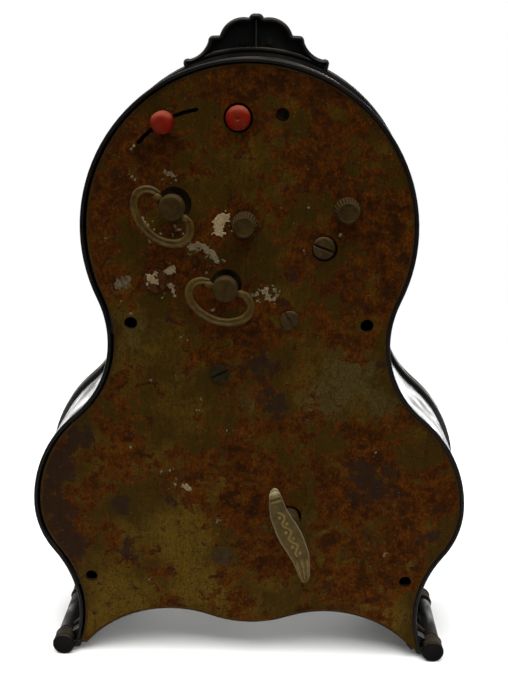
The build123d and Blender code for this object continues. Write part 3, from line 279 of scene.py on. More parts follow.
# ---- Materials --------------------------------------------------------------
class Finish:
    """A material under construction, with short calls for the nodes it needs."""

    def __init__(self, name, metallic=0.0, specular=0.5):
        self.material = bpy.data.materials.new(name)
        self.material.use_nodes = True
        self.tree = self.material.node_tree
        self.shader = self.tree.nodes["Principled BSDF"]
        self.set("Metallic", metallic)
        self.set("Specular IOR Level", specular)
        self.where = self.node("TexCoord").outputs["Object"]

    def node(self, kind):
        return self.tree.nodes.new("ShaderNode" + kind)

    def link(self, output, target):
        self.tree.links.new(output, target)

    def set(self, socket, value):
        self.feed(self.shader.inputs[socket], value)

    def feed(self, target, value):
        if isinstance(value, bpy.types.NodeSocket):
            self.link(value, target)
        elif target.type == "RGBA":
            target.default_value = (*value, 1.0)
        else:
            target.default_value = value

    def stretched(self, size, seed=0.0):
        """Object coordinates scaled so that one unit is size millimetres, moved by a seed."""
        sizes = size if isinstance(size, tuple) else (size, size, size)
        mapping = self.node("Mapping")
        mapping.inputs["Location"].default_value = (seed, seed * 1.7, seed * 0.6)
        mapping.inputs["Scale"].default_value = [1 / (s * MM) for s in sizes]
        self.link(self.where, mapping.inputs["Vector"])
        return mapping.outputs["Vector"]

    def noise(self, size, detail=4.0, rough=0.55, warp=0.0, seed=0.0):
        node = self.node("TexNoise")
        self.link(self.stretched(size, seed), node.inputs["Vector"])
        numbers = (("Scale", 1.0), ("Detail", detail), ("Roughness", rough), ("Distortion", warp))
        for socket, number in numbers:
            node.inputs[socket].default_value = number
        return node.outputs["Fac"]

    def band(self, value, low, high, to_low=0.0, to_high=1.0):
        """Smooth step of a value from low to high."""
        node = self.node("MapRange")
        node.interpolation_type = "SMOOTHSTEP"
        numbers = (("From Min", low), ("From Max", high), ("To Min", to_low), ("To Max", to_high))
        for socket, number in numbers:
            node.inputs[socket].default_value = number
        self.feed(node.inputs["Value"], value)
        return node.outputs["Result"]

    def maths(self, operation, a, b=0.0):
        node = self.node("Math")
        node.operation = operation
        self.feed(node.inputs[0], a)
        self.feed(node.inputs[1], b)
        return node.outputs["Value"]

    def plus(self, a, b):
        return self.maths("ADD", a, b)

    def times(self, a, b):
        return self.maths("MULTIPLY", a, b)

    def mix(self, share, a, b):
        node = self.node("Mix")
        node.data_type = "RGBA"
        self.feed(node.inputs["Factor"], share)
        self.feed(node.inputs["A"], a)
        self.feed(node.inputs["B"], b)
        return node.outputs["Result"]

    def over(self, colour, value, low, high, most, tone):
        """Lay a tone over a colour, up to a share, where a value passes from low to high."""
        return self.mix(self.band(value, low, high, 0.0, most), colour, tone)

    def near(self, place, radius):
        """1 at a place (x, z) on the back, falling to 0 at a radius."""
        node = self.node("VectorMath")
        node.operation = "DISTANCE"
        self.link(self.where, node.inputs[0])
        node.inputs[1].default_value = to_metres((place[0], 0.0, place[1]))
        return self.band(node.outputs["Value"], radius * MM, 0.0)

    def bias(self, patches):
        """Sum of soft patches (x, z, radius, strength)."""
        total = None
        for x, z, radius, strength in patches:
            part = self.times(self.near((x, z), radius), strength)
            total = part if total is None else self.plus(total, part)
        return total

    def facing(self, axis):
        """How far the surface faces along +X, +Y or +Z, from -1 to 1."""
        geometry = self.node("NewGeometry")
        split = self.node("SeparateXYZ")
        self.link(geometry.outputs["Normal"], split.inputs[0])
        return split.outputs[axis]

    def mark(self, label):
        """A value stored on the mesh's points."""
        node = self.node("Attribute")
        node.attribute_name = label
        return node.outputs["Fac"]

    def bump(self, height, depth, strength=1.0):
        """Raise the surface by a height of 0 to 1 times a depth in millimetres."""
        node = self.node("Bump")
        node.inputs["Distance"].default_value = depth * MM
        node.inputs["Strength"].default_value = strength
        self.link(height, node.inputs["Height"])
        self.link(node.outputs["Normal"], self.shader.inputs["Normal"])

    def done(self, colour, roughness, height, depth, strength):
        """Connect the colour, the roughness and the bump, and hand over the material."""
        self.set("Base Color", colour)
        self.set("Roughness", roughness)
        self.bump(height, depth, strength)
        return self.material


OLIVE_DARK = (0.029, 0.0162, 0.0017)
OLIVE_GOLD = (0.074, 0.0410, 0.0042)
OLIVE_GREY = (0.052, 0.0385, 0.0115)
RUST_ORANGE = (0.090, 0.0230, 0.0012)
RUST_BROWN = (0.044, 0.0108, 0.0012)
MAROON = (0.0105, 0.0028, 0.0010)
GREY_BROWN = (0.0170, 0.0098, 0.0055)
PALE_FLECK = (0.20, 0.15, 0.07)

# Where the lacquer of the back has rusted more (+) or less (-): x, z, radius, strength.
RUSTED = (
    (0, 236, 26, 0.10), (-40, 230, 22, 0.10), (44, 208, 20, 0.08), (56, 184, 20, 0.09),
    (30, 166, 16, 0.10), (6, 176, 16, 0.06), (-28, 207, 20, 0.08), (-46, 186, 22, 0.10),
    (-50, 162, 18, 0.08), (-34, 156, 16, 0.08), (16, 150, 14, 0.10), (-6, 144, 16, 0.09),
    (-30, 138, 14, 0.05), (-52, 96, 22, 0.09), (44, 92, 18, 0.06), (4, 92, 16, 0.08), (-4, 70, 20, 0.10),
    (-12, 48, 16, 0.10), (-40, 74, 22, 0.10), (-72, 78, 20, 0.09), (-58, 56, 20, 0.08),
    (10, 64, 16, 0.08), (-38, 32, 18, 0.07), (-62, 42, 14, 0.07), (74, 66, 14, 0.07),
    (52, 136, 24, -0.14), (2, 204, 14, -0.10), (17, 196, 12, -0.08), (-5, 170, 13, -0.10),
    (-14, 152, 12, -0.06), (34, 138, 20, -0.12), (-30, 126, 22, -0.12), (-46, 114, 18, -0.12),
    (26, 110, 22, -0.10), (46, 62, 16, -0.10), (58, 24, 26, -0.16), (28, 54, 22, -0.16),
    (20, 30, 20, -0.13), (64, 96, 12, -0.06), (-12, 28, 20, -0.12), (-24, 66, 10, -0.10),
    (-50, 60, 12, -0.06), (-66, 16, 18, -0.14), (36, 92, 12, -0.08), (-66, 94, 14, -0.06),
)
# Darker grey-brown stains, the same way.
STAINED = (
    (77, 84, 15, 0.26), (73, 48, 15, 0.24), (79, 64, 14, 0.24), (66, 97, 10, 0.20), (52, 68, 9, 0.22),
    (50, 48, 8, 0.20), (-48, 80, 16, 0.20), (-10, 111, 10, 0.18), (-4, 128, 12, 0.14), (30, 68, 7, 0.12),
    (-58, 128, 12, 0.12), (-72, 56, 12, 0.12),
)
# Paler, greener lacquer.
PALED = (
    (-38, 124, 24, 0.30), (-28, 110, 18, 0.26), (0, 114, 18, 0.20), (44, 140, 18, 0.20),
    (-54, 108, 16, 0.24), (24, 124, 14, 0.18), (-14, 196, 16, 0.14), (-24, 60, 14, 0.14),
)
# Cleaner gold lacquer.
GILDED = (
    (26, 56, 22, 0.34), (52, 26, 26, 0.30), (70, 14, 14, 0.30), (22, 32, 18, 0.24), (64, 118, 14, 0.14),
    (40, 84, 14, 0.16), (-58, 16, 20, 0.16), (0, 236, 40, 0.06),
)


def lacquer_tones(f, broad, patchy, speckle, mottle):
    """Olive lacquer: gold where it is clean, grey where it is pale, dark specks and first rust."""
    gold = f.plus(f.plus(broad, f.bias(GILDED)), f.times(patchy, 0.5))
    tone = f.mix(f.band(gold, 0.62, 0.98), OLIVE_DARK, OLIVE_GOLD)
    tone = f.over(tone, f.plus(patchy, f.bias(PALED)), 0.56, 0.80, 0.85, OLIVE_GREY)
    tone = f.over(tone, speckle, 0.54, 0.64, 0.85, OLIVE_DARK)
    tone = f.over(tone, mottle, 0.50, 0.64, 0.70, OLIVE_DARK)
    return f.over(tone, mottle, 0.56, 0.70, 0.50, RUST_BROWN)


def rust_tones(f, spread, islands, mottle, speckle):
    """Orange to brown rust, maroon where it is deep and in scattered islands."""
    cloud = f.noise(4.6, detail=9, rough=0.72, warp=0.3, seed=2.7)
    deep = f.times(f.band(spread, 0.68, 0.78), f.band(cloud, 0.62, 0.42))
    tone = f.mix(f.band(cloud, 0.36, 0.62), RUST_BROWN, RUST_ORANGE)
    tone = f.mix(deep, tone, MAROON)
    tone = f.over(tone, islands, 0.47, 0.34, 0.75, MAROON)
    tone = f.over(tone, mottle, 0.52, 0.40, 0.45, MAROON)
    return f.over(tone, speckle, 0.55, 0.44, 0.60, MAROON)


def old_lacquered_tin():
    """Olive gold lacquer on sheet steel, broken up by rust in crisp blotches."""
    f = Finish("old_lacquered_tin", specular=0.015)
    broad = f.noise(17.0, detail=5, warp=0.3, seed=3.1)
    patchy = f.noise(5.5, detail=9, rough=0.70, warp=0.25, seed=8.4)
    speckle = f.noise((0.8, 0.8, 1.3), rough=0.75, seed=1.9)
    mottle = f.noise((2.0, 2.0, 2.6), detail=6, rough=0.72, seed=7.7)
    islands = f.noise((8.0, 8.0, 6.0), detail=7, rough=0.65, warp=0.3, seed=13.0)
    spread = f.plus(f.times(broad, 0.42), f.times(patchy, 0.66))
    spread = f.plus(f.plus(spread, f.times(speckle, 0.16)), f.bias(RUSTED))
    spread = f.maths("SUBTRACT", spread, f.band(islands, 0.52, 0.66, 0.0, 0.14))
    rusted = f.band(spread, 0.572, 0.618)
    lacquer = lacquer_tones(f, broad, patchy, speckle, mottle)
    rust = rust_tones(f, spread, islands, mottle, speckle)
    colour = f.mix(f.times(rusted, 0.93), lacquer, rust)

    stain = f.plus(f.times(patchy, 0.8), f.bias(STAINED))
    colour = f.over(colour, stain, 0.46, 0.55, 0.90, GREY_BROWN)
    pits = f.band(f.noise(1.3, detail=6, rough=0.7, seed=6.6), 0.60, 0.67)
    colour = f.mix(f.times(pits, 0.85), colour, MAROON)
    flecks = f.band(f.noise(0.9, detail=2, rough=0.5, seed=9.3), 0.72, 0.76)
    colour = f.mix(f.times(flecks, 0.4), colour, PALE_FLECK)
    colour = f.over(colour, f.noise(0.45, detail=3, rough=0.6, seed=5.2), 0.35, 0.65, 0.35, MAROON)
    colour = f.over(colour, f.noise((1.1, 1.1, 8.0), rough=0.6, seed=4.4), 0.52, 0.68, 0.30, MAROON)
    height = f.plus(f.times(rusted, 0.5), f.times(speckle, 0.7))
    height = f.maths("SUBTRACT", height, f.times(pits, 0.5))
    return f.done(colour, f.band(spread, 0.52, 0.72, 0.48, 0.85), height, 0.12, 0.7)


def black_lacquer(name="black_lacquer", top_dust_and_highlight=0.5, roughness=0.27, specular=0.4):
    """Gloss black paint with fine scratches, worn spots, and a brownish tone on up-facing surfaces that is partly
    dust and partly painted highlight.
    """
    f = Finish(name, specular=specular)
    cloud = f.noise(14.0, detail=6, rough=0.6, warp=0.4, seed=4.0)
    fine = f.noise(0.9, detail=4, rough=0.7, seed=2.0)
    black = f.mix(f.band(cloud, 0.35, 0.7), (0.0016, 0.0014, 0.0013), (0.0045, 0.0036, 0.0030))
    chips = f.band(f.noise(2.6, detail=8, rough=0.75, seed=7.0), 0.66, 0.70)
    black = f.mix(f.times(chips, 0.5), black, (0.026, 0.012, 0.005))
    # Up-facing surfaces turn brownish and rougher: partly dust, partly a painted highlight from the top light.
    up = f.band(f.facing("Z"), 0.25, 0.95)
    dust_and_highlight_on_top = f.times(up, f.band(f.plus(cloud, f.times(fine, 0.35)), 0.45, 0.85))
    colour = f.mix(f.times(dust_and_highlight_on_top, top_dust_and_highlight), black, (0.050, 0.037, 0.024))
    gloss = f.band(cloud, 0.3, 0.75, roughness * 0.7, roughness * 1.6)
    height = f.plus(f.times(fine, 0.5), f.times(cloud, 0.4))
    return f.done(colour, f.plus(gloss, f.times(dust_and_highlight_on_top, 0.35)), height, 0.04, 0.5)


def tarnished(name, clean, dull, dark, top_highlight=None, metallic=0.0, specular=0.04, roughness=0.42, size=3.0,
              spots=0.6, seed=0.0):
    """Aged metal: a clean tone, a dull film in clouds, dark spots, and a painted highlight on up-facing surfaces.
    """
    f = Finish(name, metallic, specular)
    cloud = f.noise(size, detail=7, rough=0.65, warp=0.3, seed=seed)
    fine = f.noise(0.35, detail=3, rough=0.6, seed=seed + 3)
    spot = f.band(f.noise(size * 0.45, detail=6, rough=0.7, seed=seed + 6), 0.56, 0.66)
    colour = f.mix(f.band(cloud, 0.36, 0.64), clean, dull)
    colour = f.mix(f.times(spot, spots), colour, dark)
    # Painted highlight: up-facing surfaces are lightened towards this tone.
    if top_highlight:
        colour = f.over(colour, f.facing("Z"), 0.2, 0.9, 0.8, top_highlight)
    colour = f.over(colour, fine, 0.35, 0.7, 0.3, dark)
    gloss = f.band(cloud, 0.35, 0.7, roughness * 0.8, roughness * 1.35)
    return f.done(colour, gloss, f.plus(fine, f.times(cloud, 0.6)), 0.03, 0.6)


def worn_red(name, seed, fresh_place, painted_shade_depth):
    """Matt red moulding, grimy, still bright red on one side; a painted highlight lightens the up-facing surfaces,
    and painted shade turns it black below the plate.
    """
    f = Finish(name, specular=0.02)
    cloud = f.noise(3.0, detail=5, rough=0.6, warp=0.4, seed=seed)
    fine = f.noise(0.5, detail=4, rough=0.7, seed=seed + 2)
    colour = f.mix(f.band(cloud, 0.35, 0.65), (0.135, 0.0040, 0.0016), (0.104, 0.0125, 0.0045))
    # Painted highlight: up-facing surfaces are lightened towards a pale red.
    top = f.band(f.facing("Z"), 0.15, 0.8, 0.0, 0.65)
    colour = f.mix(top, colour, (0.230, 0.062, 0.036))
    x, z, radius = fresh_place
    colour = f.mix(f.near((x, z), radius), colour, (0.150, 0.0015, 0.0010))
    colour = f.over(colour, fine, 0.52, 0.68, 0.35, (0.040, 0.007, 0.003))
    # Painted shade: below the given depth, down in the plate's hole, the red is painted near black.
    split = f.node("SeparateXYZ")
    f.link(f.where, split.inputs[0])
    inside = f.band(split.outputs["Y"], (BACK - painted_shade_depth + 0.2) * MM, (BACK - painted_shade_depth - 0.2) * MM)
    colour = f.mix(inside, colour, (0.0015, 0.0010, 0.0008))
    return f.done(colour, f.band(cloud, 0.3, 0.7, 0.42, 0.62), f.plus(cloud, fine), 0.05, 0.5)


def flaked_paint():
    """Off-white paint residue, creamy where it is thick and grey where it is thin."""
    f = Finish("flaked_paint", specular=0.04)
    cloud = f.noise(1.6, detail=6, rough=0.7, seed=1.0)
    crack = f.band(f.noise(0.7, detail=6, rough=0.75, warp=0.8, seed=5.0), 0.54, 0.62)
    thick = f.mix(f.band(cloud, 0.35, 0.65), (0.290, 0.220, 0.118), (0.200, 0.148, 0.072))
    thin = f.mix(f.band(cloud, 0.40, 0.62), (0.095, 0.072, 0.042), (0.048, 0.033, 0.017))
    colour = f.mix(f.mark("body"), thin, thick)
    colour = f.mix(f.times(crack, 0.6), colour, (0.060, 0.040, 0.020))
    return f.done(colour, f.band(cloud, 0.3, 0.7, 0.62, 0.85), f.maths("SUBTRACT", cloud, crack), 0.10, 0.7)


def pressed_leaf():
    """Pale stamped brass: worn greyish rim, dull yellow relief, grime in the hollows."""
    f = Finish("pressed_leaf", metallic=0.05, specular=0.06)
    cloud = f.noise(3.0, detail=6, rough=0.65, seed=2.0)
    fine = f.noise(0.4, detail=3, rough=0.6, seed=4.0)
    ground = f.mix(f.band(cloud, 0.35, 0.68), (0.092, 0.0620, 0.0165), (0.056, 0.0370, 0.0105))
    colour = f.mix(f.band(f.mark("relief"), 0.30, 0.85), ground, (0.150, 0.1000, 0.0300))
    colour = f.over(colour, f.mark("relief"), 0.14, 0.02, 0.3, (0.030, 0.0190, 0.0050))
    colour = f.over(colour, f.mark("rim"), 0.3, 0.9, 0.9, (0.125, 0.0950, 0.0540))
    colour = f.mix(f.band(f.mark("tip"), 0.2, 0.9), colour, (0.290, 0.2400, 0.1300))
    colour = f.over(colour, fine, 0.42, 0.68, 0.5, (0.020, 0.0130, 0.0050))
    return f.done(colour, f.band(cloud, 0.35, 0.7, 0.38, 0.60), f.plus(fine, f.times(cloud, 0.5)), 0.05, 0.7)


def cream_enamel():
    f = Finish("cream_enamel", specular=0.45)
    cloud = f.noise(20.0, detail=5, rough=0.6, warp=0.5, seed=2.0)
    foxing = f.band(f.noise(3.0, detail=6, rough=0.7, seed=9.0), 0.64, 0.74)
    colour = f.mix(f.band(cloud, 0.3, 0.7), (0.74, 0.68, 0.54), (0.66, 0.58, 0.42))
    colour = f.mix(f.times(foxing, 0.35), colour, (0.36, 0.24, 0.12))
    return f.done(colour, f.band(cloud, 0.3, 0.7, 0.35, 0.55), cloud, 0.04, 0.3)


def satin_ink(name, dark, light):
    """Printed or painted black, slightly uneven."""
    f = Finish(name, specular=0.35)
    cloud = f.noise(1.2, detail=4, rough=0.6, seed=3.0)
    colour = f.mix(f.band(cloud, 0.35, 0.7), dark, light)
    return f.done(colour, f.band(cloud, 0.3, 0.7, 0.35, 0.6), cloud, 0.02, 0.4)


def clear_glass():
    f = Finish("clear_glass", specular=0.5)
    smear = f.noise(9.0, detail=5, rough=0.6, warp=0.6, seed=6.0)
    f.set("Base Color", f.mix(f.band(smear, 0.4, 0.7), (0.46, 0.50, 0.49), (0.62, 0.66, 0.64)))
    f.set("Roughness", f.band(smear, 0.35, 0.75, 0.03, 0.14))
    f.set("Alpha", f.band(smear, 0.35, 0.8, 0.05, 0.12))
    return f.material


# The dust setting of each black also sets how much painted highlight lightens its up-facing surfaces.
BLACK = black_lacquer()
BLACK_FEET = black_lacquer("feet_lacquer", top_dust_and_highlight=0.15, roughness=0.30, specular=0.10)
CAP_PAINT = black_lacquer("cap_paint", top_dust_and_highlight=0.9, roughness=0.45, specular=0.04)
RIM_PAINT = black_lacquer("rim_paint", top_dust_and_highlight=0.60, roughness=0.45, specular=0.10)
CASTING = black_lacquer("painted_casting", top_dust_and_highlight=1.0, roughness=0.38, specular=0.16)
TIN_BACK = old_lacquered_tin()
# The plate's edge bead: rubbed metal, with its lighter tone partly a painted highlight along the edge.
EDGE_TIN = tarnished(
    "rubbed_and_highlit_edge", (0.036, 0.0180, 0.0038), (0.024, 0.0105, 0.0020), (0.009, 0.0036, 0.0010),
    specular=0.05, roughness=0.55, seed=33.0)
RIVET_TIN = tarnished(
    "rivet_tin", (0.030, 0.0190, 0.0058), (0.022, 0.0110, 0.0030), (0.010, 0.0045, 0.0016),
    roughness=0.6, seed=36.0)
# The last tone given to the key, loop and screw metals is a painted highlight on their up-facing surfaces.
KEY_METAL = tarnished(
    "dull_nickel", (0.036, 0.0215, 0.0060), (0.021, 0.0120, 0.0028), (0.009, 0.0050, 0.0016),
    top_highlight=(0.046, 0.0300, 0.0110), specular=0.03, spots=0.5, seed=1.0)
LOOP_METAL = tarnished(
    "loop_brass", (0.068, 0.0420, 0.0098), (0.038, 0.0190, 0.0030), (0.015, 0.0072, 0.0015),
    top_highlight=(0.082, 0.0560, 0.0160), specular=0.05, roughness=0.40, size=4.0, spots=0.4, seed=5.0)
SCREW_STEEL = tarnished(
    "old_screw_steel", (0.040, 0.0260, 0.0095), (0.024, 0.0130, 0.0036), (0.009, 0.0045, 0.0015),
    top_highlight=(0.080, 0.0520, 0.0240), specular=0.03, roughness=0.46, size=2.2, spots=0.7, seed=9.0)
DARK_STEEL = tarnished(
    "dark_steel", (0.020, 0.0150, 0.0056), (0.012, 0.0086, 0.0030), (0.004, 0.0028, 0.0012),
    specular=0.02, size=2.2, seed=18.0)
RUSTY_STEEL = tarnished(
    "rusty_steel", (0.052, 0.0190, 0.0040), (0.030, 0.0090, 0.0018), (0.011, 0.0035, 0.0012),
    roughness=0.70, size=1.8, spots=0.8, seed=12.0)
BLUE_STEEL = tarnished(
    "dull_steel", (0.20, 0.185, 0.165), (0.12, 0.105, 0.085), (0.04, 0.028, 0.015),
    metallic=0.75, specular=0.3, size=2.4, spots=0.5, seed=15.0)
BRASS = tarnished(
    "tarnished_brass", (0.46, 0.31, 0.105), (0.30, 0.195, 0.06), (0.10, 0.06, 0.025),
    metallic=0.9, specular=0.3, roughness=0.30, size=6.0, spots=0.4, seed=21.0)
AGED_BRASS = tarnished(
    "aged_brass", (0.060, 0.042, 0.015), (0.035, 0.023, 0.008), (0.012, 0.008, 0.003),
    metallic=0.6, specular=0.3, roughness=0.45, size=6.0, seed=24.0)
GILT = tarnished(
    "worn_gilt", (0.46, 0.31, 0.09), (0.30, 0.19, 0.055), (0.04, 0.03, 0.02),
    metallic=0.8, specular=0.3, roughness=0.36, size=5.0, spots=0.7, seed=27.0)
TINNED = tarnished(
    "tinned_plate", (0.16, 0.155, 0.14), (0.11, 0.10, 0.09), (0.04, 0.03, 0.02),
    metallic=0.75, specular=0.3, size=8.0, spots=0.5, seed=30.0)
KNOB_AT = centre_of("stop_lever_knob")
BUTTON_AT = centre_of("push_button")
# The last argument of each is the depth below which the red is painted black as shade.
KNOB_RED = worn_red("lever_red", 1.0, (KNOB_AT[0] - 1.6, KNOB_AT[1] - 1.2, 10.6), 3.0)
BUTTON_RED = worn_red("button_red", 7.0, (BUTTON_AT[0] + 3.4, BUTTON_AT[1] + 0.5, 7.0), 0.2)
LEAF = pressed_leaf()
PAINT = flaked_paint()
ENAMEL = cream_enamel()
INK = satin_ink("dial_ink", (0.010, 0.009, 0.009), (0.022, 0.019, 0.017))
HAND_BLACK = satin_ink("hand_black", (0.008, 0.008, 0.009), (0.020, 0.018, 0.018))
GLASS = clear_glass()

SLOT_MATERIALS = {
    "lacquer": BLACK, "back_tin": TIN_BACK, "casting": CASTING, "brass": AGED_BRASS, "steel": BLUE_STEEL,
    "key_metal": KEY_METAL, "handle_metal": LEAF, "dial_card": ENAMEL, "glass": GLASS, "tin": TINNED,
    "hand_black": HAND_BLACK,
}
OWN_MATERIALS = {
    "crest_rivets": CASTING, "runner_studs": RIM_PAINT, "coin_slot_plate": BRASS, "case_band": BLACK,
}


def dress_frame():
    """Give every CAD node its own material, or the one of its slot in the record."""
    slots = {part["node"]: part["material_slot"] for part in frame["record"]["subparts"]}
    for name, node in frame["nodes"].items():
        material = OWN_MATERIALS.get(name, SLOT_MATERIALS.get(slots[name], BLACK))
        node.data.materials.clear()
        node.data.materials.append(material)


# ---- Case -------------------------------------------------------------------
MOULDING = depths_of("front_moulding")
BAND = depths_of("case_band")
MOULD_PROUD = 1.5
CASE_LINE = even(rim_of("front_moulding", MOULDING[1]), 1.2)
PLATE_LINE = even(rim_of("back_plate", 0.0), 1.0)
APRON_TOP = 27.0
APRON_SIDE = 69.5


def above_apron(line):
    """The part of a closed line outside the apron, from one foot over the top to the other."""
    kept = [not (abs(p[0]) < APRON_SIDE and p[1] < APRON_TOP) for p in line]
    first = next(i for i in range(len(line)) if kept[i] and not kept[i - 1])
    rolled = line[first:] + line[:first]
    flags = kept[first:] + kept[:first]
    return [p for p, keep in zip(rolled, flags) if keep]


def case_beads():
    """A bead round the rear rim of the case, and the rolled edges of the front moulding."""
    rear = Shape()
    hoop = above_apron(moved_out(CASE_LINE, -MOULD_PROUD))
    rear.swept(hoop, circle(0.75, 12, (-0.55, BAND[0] + 0.1)), closed=False)
    piece("case_rear_bead", rear, "case", RIM_PAINT)
    front = Shape()
    for depth, radius in ((MOULDING[0] + 1.5, 1.1), (MOULDING[1] - 1.6, 1.3)):
        front.swept(CASE_LINE, circle(radius, 12, (-radius * 0.45, depth)))
    front.swept(moved_out(CASE_LINE, -3.6), half_round(2.2, MOULDING[1] - 0.1, MOULDING[1] + 0.7))
    piece("moulding_beads", front, "case", BLACK)


def plate_edge():
    """The plate's turned edge, lighter than its face: partly rubbed, partly a painted highlight."""
    edge = Shape().swept(PLATE_LINE, half_round(0.9, 0.05, -0.28, middle=-0.5))
    piece("back_plate_edge", edge, "case", EDGE_TIN)


# ---- Crest ------------------------------------------------------------------
def thin_spots(line, reach):
    """For each point, half the distance to the nearest far part of the line."""
    room = []
    count = len(line)
    for i, p in enumerate(line):
        others = [math.dist(p, q) for j, q in enumerate(line) if min(abs(i - j), count - abs(i - j)) > reach]
        room.append(min(others) / 2)
    return room


ROOM_USED = 0.8
FAN_DROP = 15.0
FAN_RAYS = 3
FAN_STEP = 21


def crest_casting():
    """Bonnet crest, hollow at the rear, with a rounded rear rim, a crowned face and a fan on top."""
    rear, front = depths_of("crest")
    line = even(rim_of("crest", front), 0.5)
    # (inset, depth) from the pocket's floor over the rear rim to the face
    section = from_base(front, [(3.6, -1.6), (3.1, -2.2)])
    section += from_base(rear, [(2.8, 2.2), (2.6, 1.3), (2.25, 0.65), (1.75, 0.22), (1.2, 0.03), (0.7, 0.12),
                                (0.3, 0.5), (0.0, 1.2)])
    section += from_base(front, [(0.0, -1.5), (0.2, -0.7), (0.6, -0.2), (1.1, 0.0), (1.6, -0.1), (2.0, -0.45),
                                 (3.6, -0.5)])
    around = list(zip(line, outward(line), thin_spots(line, 9)))
    rings = []
    for inset, depth in section:
        ring = []
        for (x, z), normal, room in around:
            move = min(inset, room * ROOM_USED)
            ring.append((x - normal[0] * move, depth, z - normal[1] * move))
        rings.append(ring)
    shape = Shape().skin(rings)
    middle = centre_of("crest")[0]
    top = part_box("crest")[1].z / MM
    wall = from_base(rear, [(-0.3, 0.7), (0.0, 0.45), (0.3, 0.7)])
    wall += from_base(front, [(0.45, -1.5), (-0.45, -1.5)])
    shape.swept([(middle, top - 14.2), (middle, top - 1.2)], wall, closed=False)
    for step in range(-FAN_RAYS, FAN_RAYS + 1):
        lean = math.radians(90 + step * FAN_STEP)
        reach = 10.5 - abs(step) * 0.8
        start = (middle + 3.0 * math.cos(lean), top - FAN_DROP + 3.0 * math.sin(lean))
        end = (middle + reach * math.cos(lean), top - FAN_DROP + reach * math.sin(lean) * 1.05)
        shape.swept([start, end], half_round(1.9, front - 0.6, front + 0.5), closed=False)
    boss = from_base(front, [(0.0, 1.1), (1.2, 0.95), (2.2, 0.3), (2.5, -0.5)])
    shape.turned(boss, (middle, top - FAN_DROP + 0.4), segments=40)
    piece("crest_casting", shape, "case", CASTING, replaces=("crest",))


# ---- Runner feet ------------------------------------------------------------
CAP_R = 4.5
BAR_R = 3.75
# (radius, depth from the end) of a groove round each end of a bar, and of an end cap.
BAR_END = ((BAR_R, 1.0), (BAR_R, 6.3), (BAR_R - 0.35, 6.6), (BAR_R - 0.35, 7.2), (BAR_R, 7.5))
CAP_END = (
    (0.0, 0.35), (3.2, 0.30), (3.7, 0.05), (4.1, 0.08), (4.4, 0.35), (4.5, 0.8), (4.35, 1.1), (4.1, 1.3),
    (4.1, 1.8), (4.35, 2.0), (4.35, 6.2), (4.5, 6.6), (4.3, 7.1), (3.7, 7.3),
)
WEB_LINE = (
    (74.0, 1.2), (72.0, 0.9), (70.8, 1.3), (70.2, 2.4), (70.6, 4.0), (72.6, 4.2), (72.2, 6.0),
    (71.4, 8.4), (70.9, 10.0), (72.0, 9.4), (74.0, 8.0),
)
WEB_DEPTHS = ((1.2, 4.8), (33.8, 38.2))


def runner_feet():
    """Two turned bars with deep end caps and a web to each foot tip."""
    side_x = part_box("runner_caps")[1].x / MM - CAP_R
    rear, front = depths_of("runner_bars")
    cap_rear, cap_front = depths_of("runner_caps")
    bars = Shape()
    caps = Shape()
    for side in (-1, 1):
        centre = (side * side_x, CAP_R)
        bars.turned(from_base(rear, BAR_END) + from_base(front, BAR_END, -1)[::-1], centre, 56)
        for end, way in ((cap_rear, 1), (cap_front, -1)):
            caps.turned(from_base(end, CAP_END, way), centre, 56)
        for near, far in WEB_DEPTHS:
            bars.skin([[(side * x, depth, z) for x, z in WEB_LINE]
                       for depth in (near, near + 0.3, far - 0.3, far)])
    piece("runner_bars_turned", bars, "case", BLACK_FEET, replaces=("runner_bars",))
    piece("runner_caps_turned", caps, "case", CAP_PAINT, replaces=("runner_caps",))


# ---- Knobs, hubs and buttons ------------------------------------------------
def fluted(flutes, depth_of_flute, near, far):
    """A wave for turned(): shallow flutes between two depths."""
    def wave(radius, depth, angle):
        if near < depth < far and radius > 2.0:
            share = 0.5 - 0.5 * math.cos(flutes * angle)
            return radius - depth_of_flute * share ** 1.5
        return radius
    return wave


def turned_piece(name, node, body, material, profile, segments, wave=None):
    """A piece turned about the middle of the CAD node that it replaces."""
    shape = Shape().turned(profile, centre_of(node), segments, wave)
    piece(name, shape, body, material, replaces=(node,))


def setting_knob(name, node, body):
    """A tapered knob with a fluted side and a flat face inside a fine rim."""
    rear = depths_of(node)[0]
    profile = from_base(rear, [
        (0.0, 0.30), (2.7, 0.30), (3.0, 0.22), (3.15, 0.02), (3.45, 0.0), (3.7, 0.12), (3.95, 0.5),
        (4.1, 1.0), (4.3, 2.4), (4.5, 3.9), (4.72, 5.3), (4.85, 6.0), (4.9, 6.3), (4.6, 6.6), (2.6, 6.7),
        (2.6, 8.4)])
    flutes = fluted(22, 0.55, rear + 0.45, rear + 6.2)
    turned_piece(name, node, body, KEY_METAL, profile, 220, flutes)


def key_hub(name, node, body):
    """Turned boss with a softly domed face; the loop's pin passes through it."""
    rear, front = depths_of(node)
    profile = from_base(rear, [
        (0.0, -0.02), (2.6, 0.02), (3.7, 0.12), (4.15, 0.3), (4.45, 0.6), (4.64, 1.0), (4.7, 1.5), (4.7, 4.1),
        (4.55, 4.5), (4.2, 4.65), (3.1, 4.7)])
    turned_piece(name, node, body, KEY_METAL, profile + [(3.1, front)], 80)


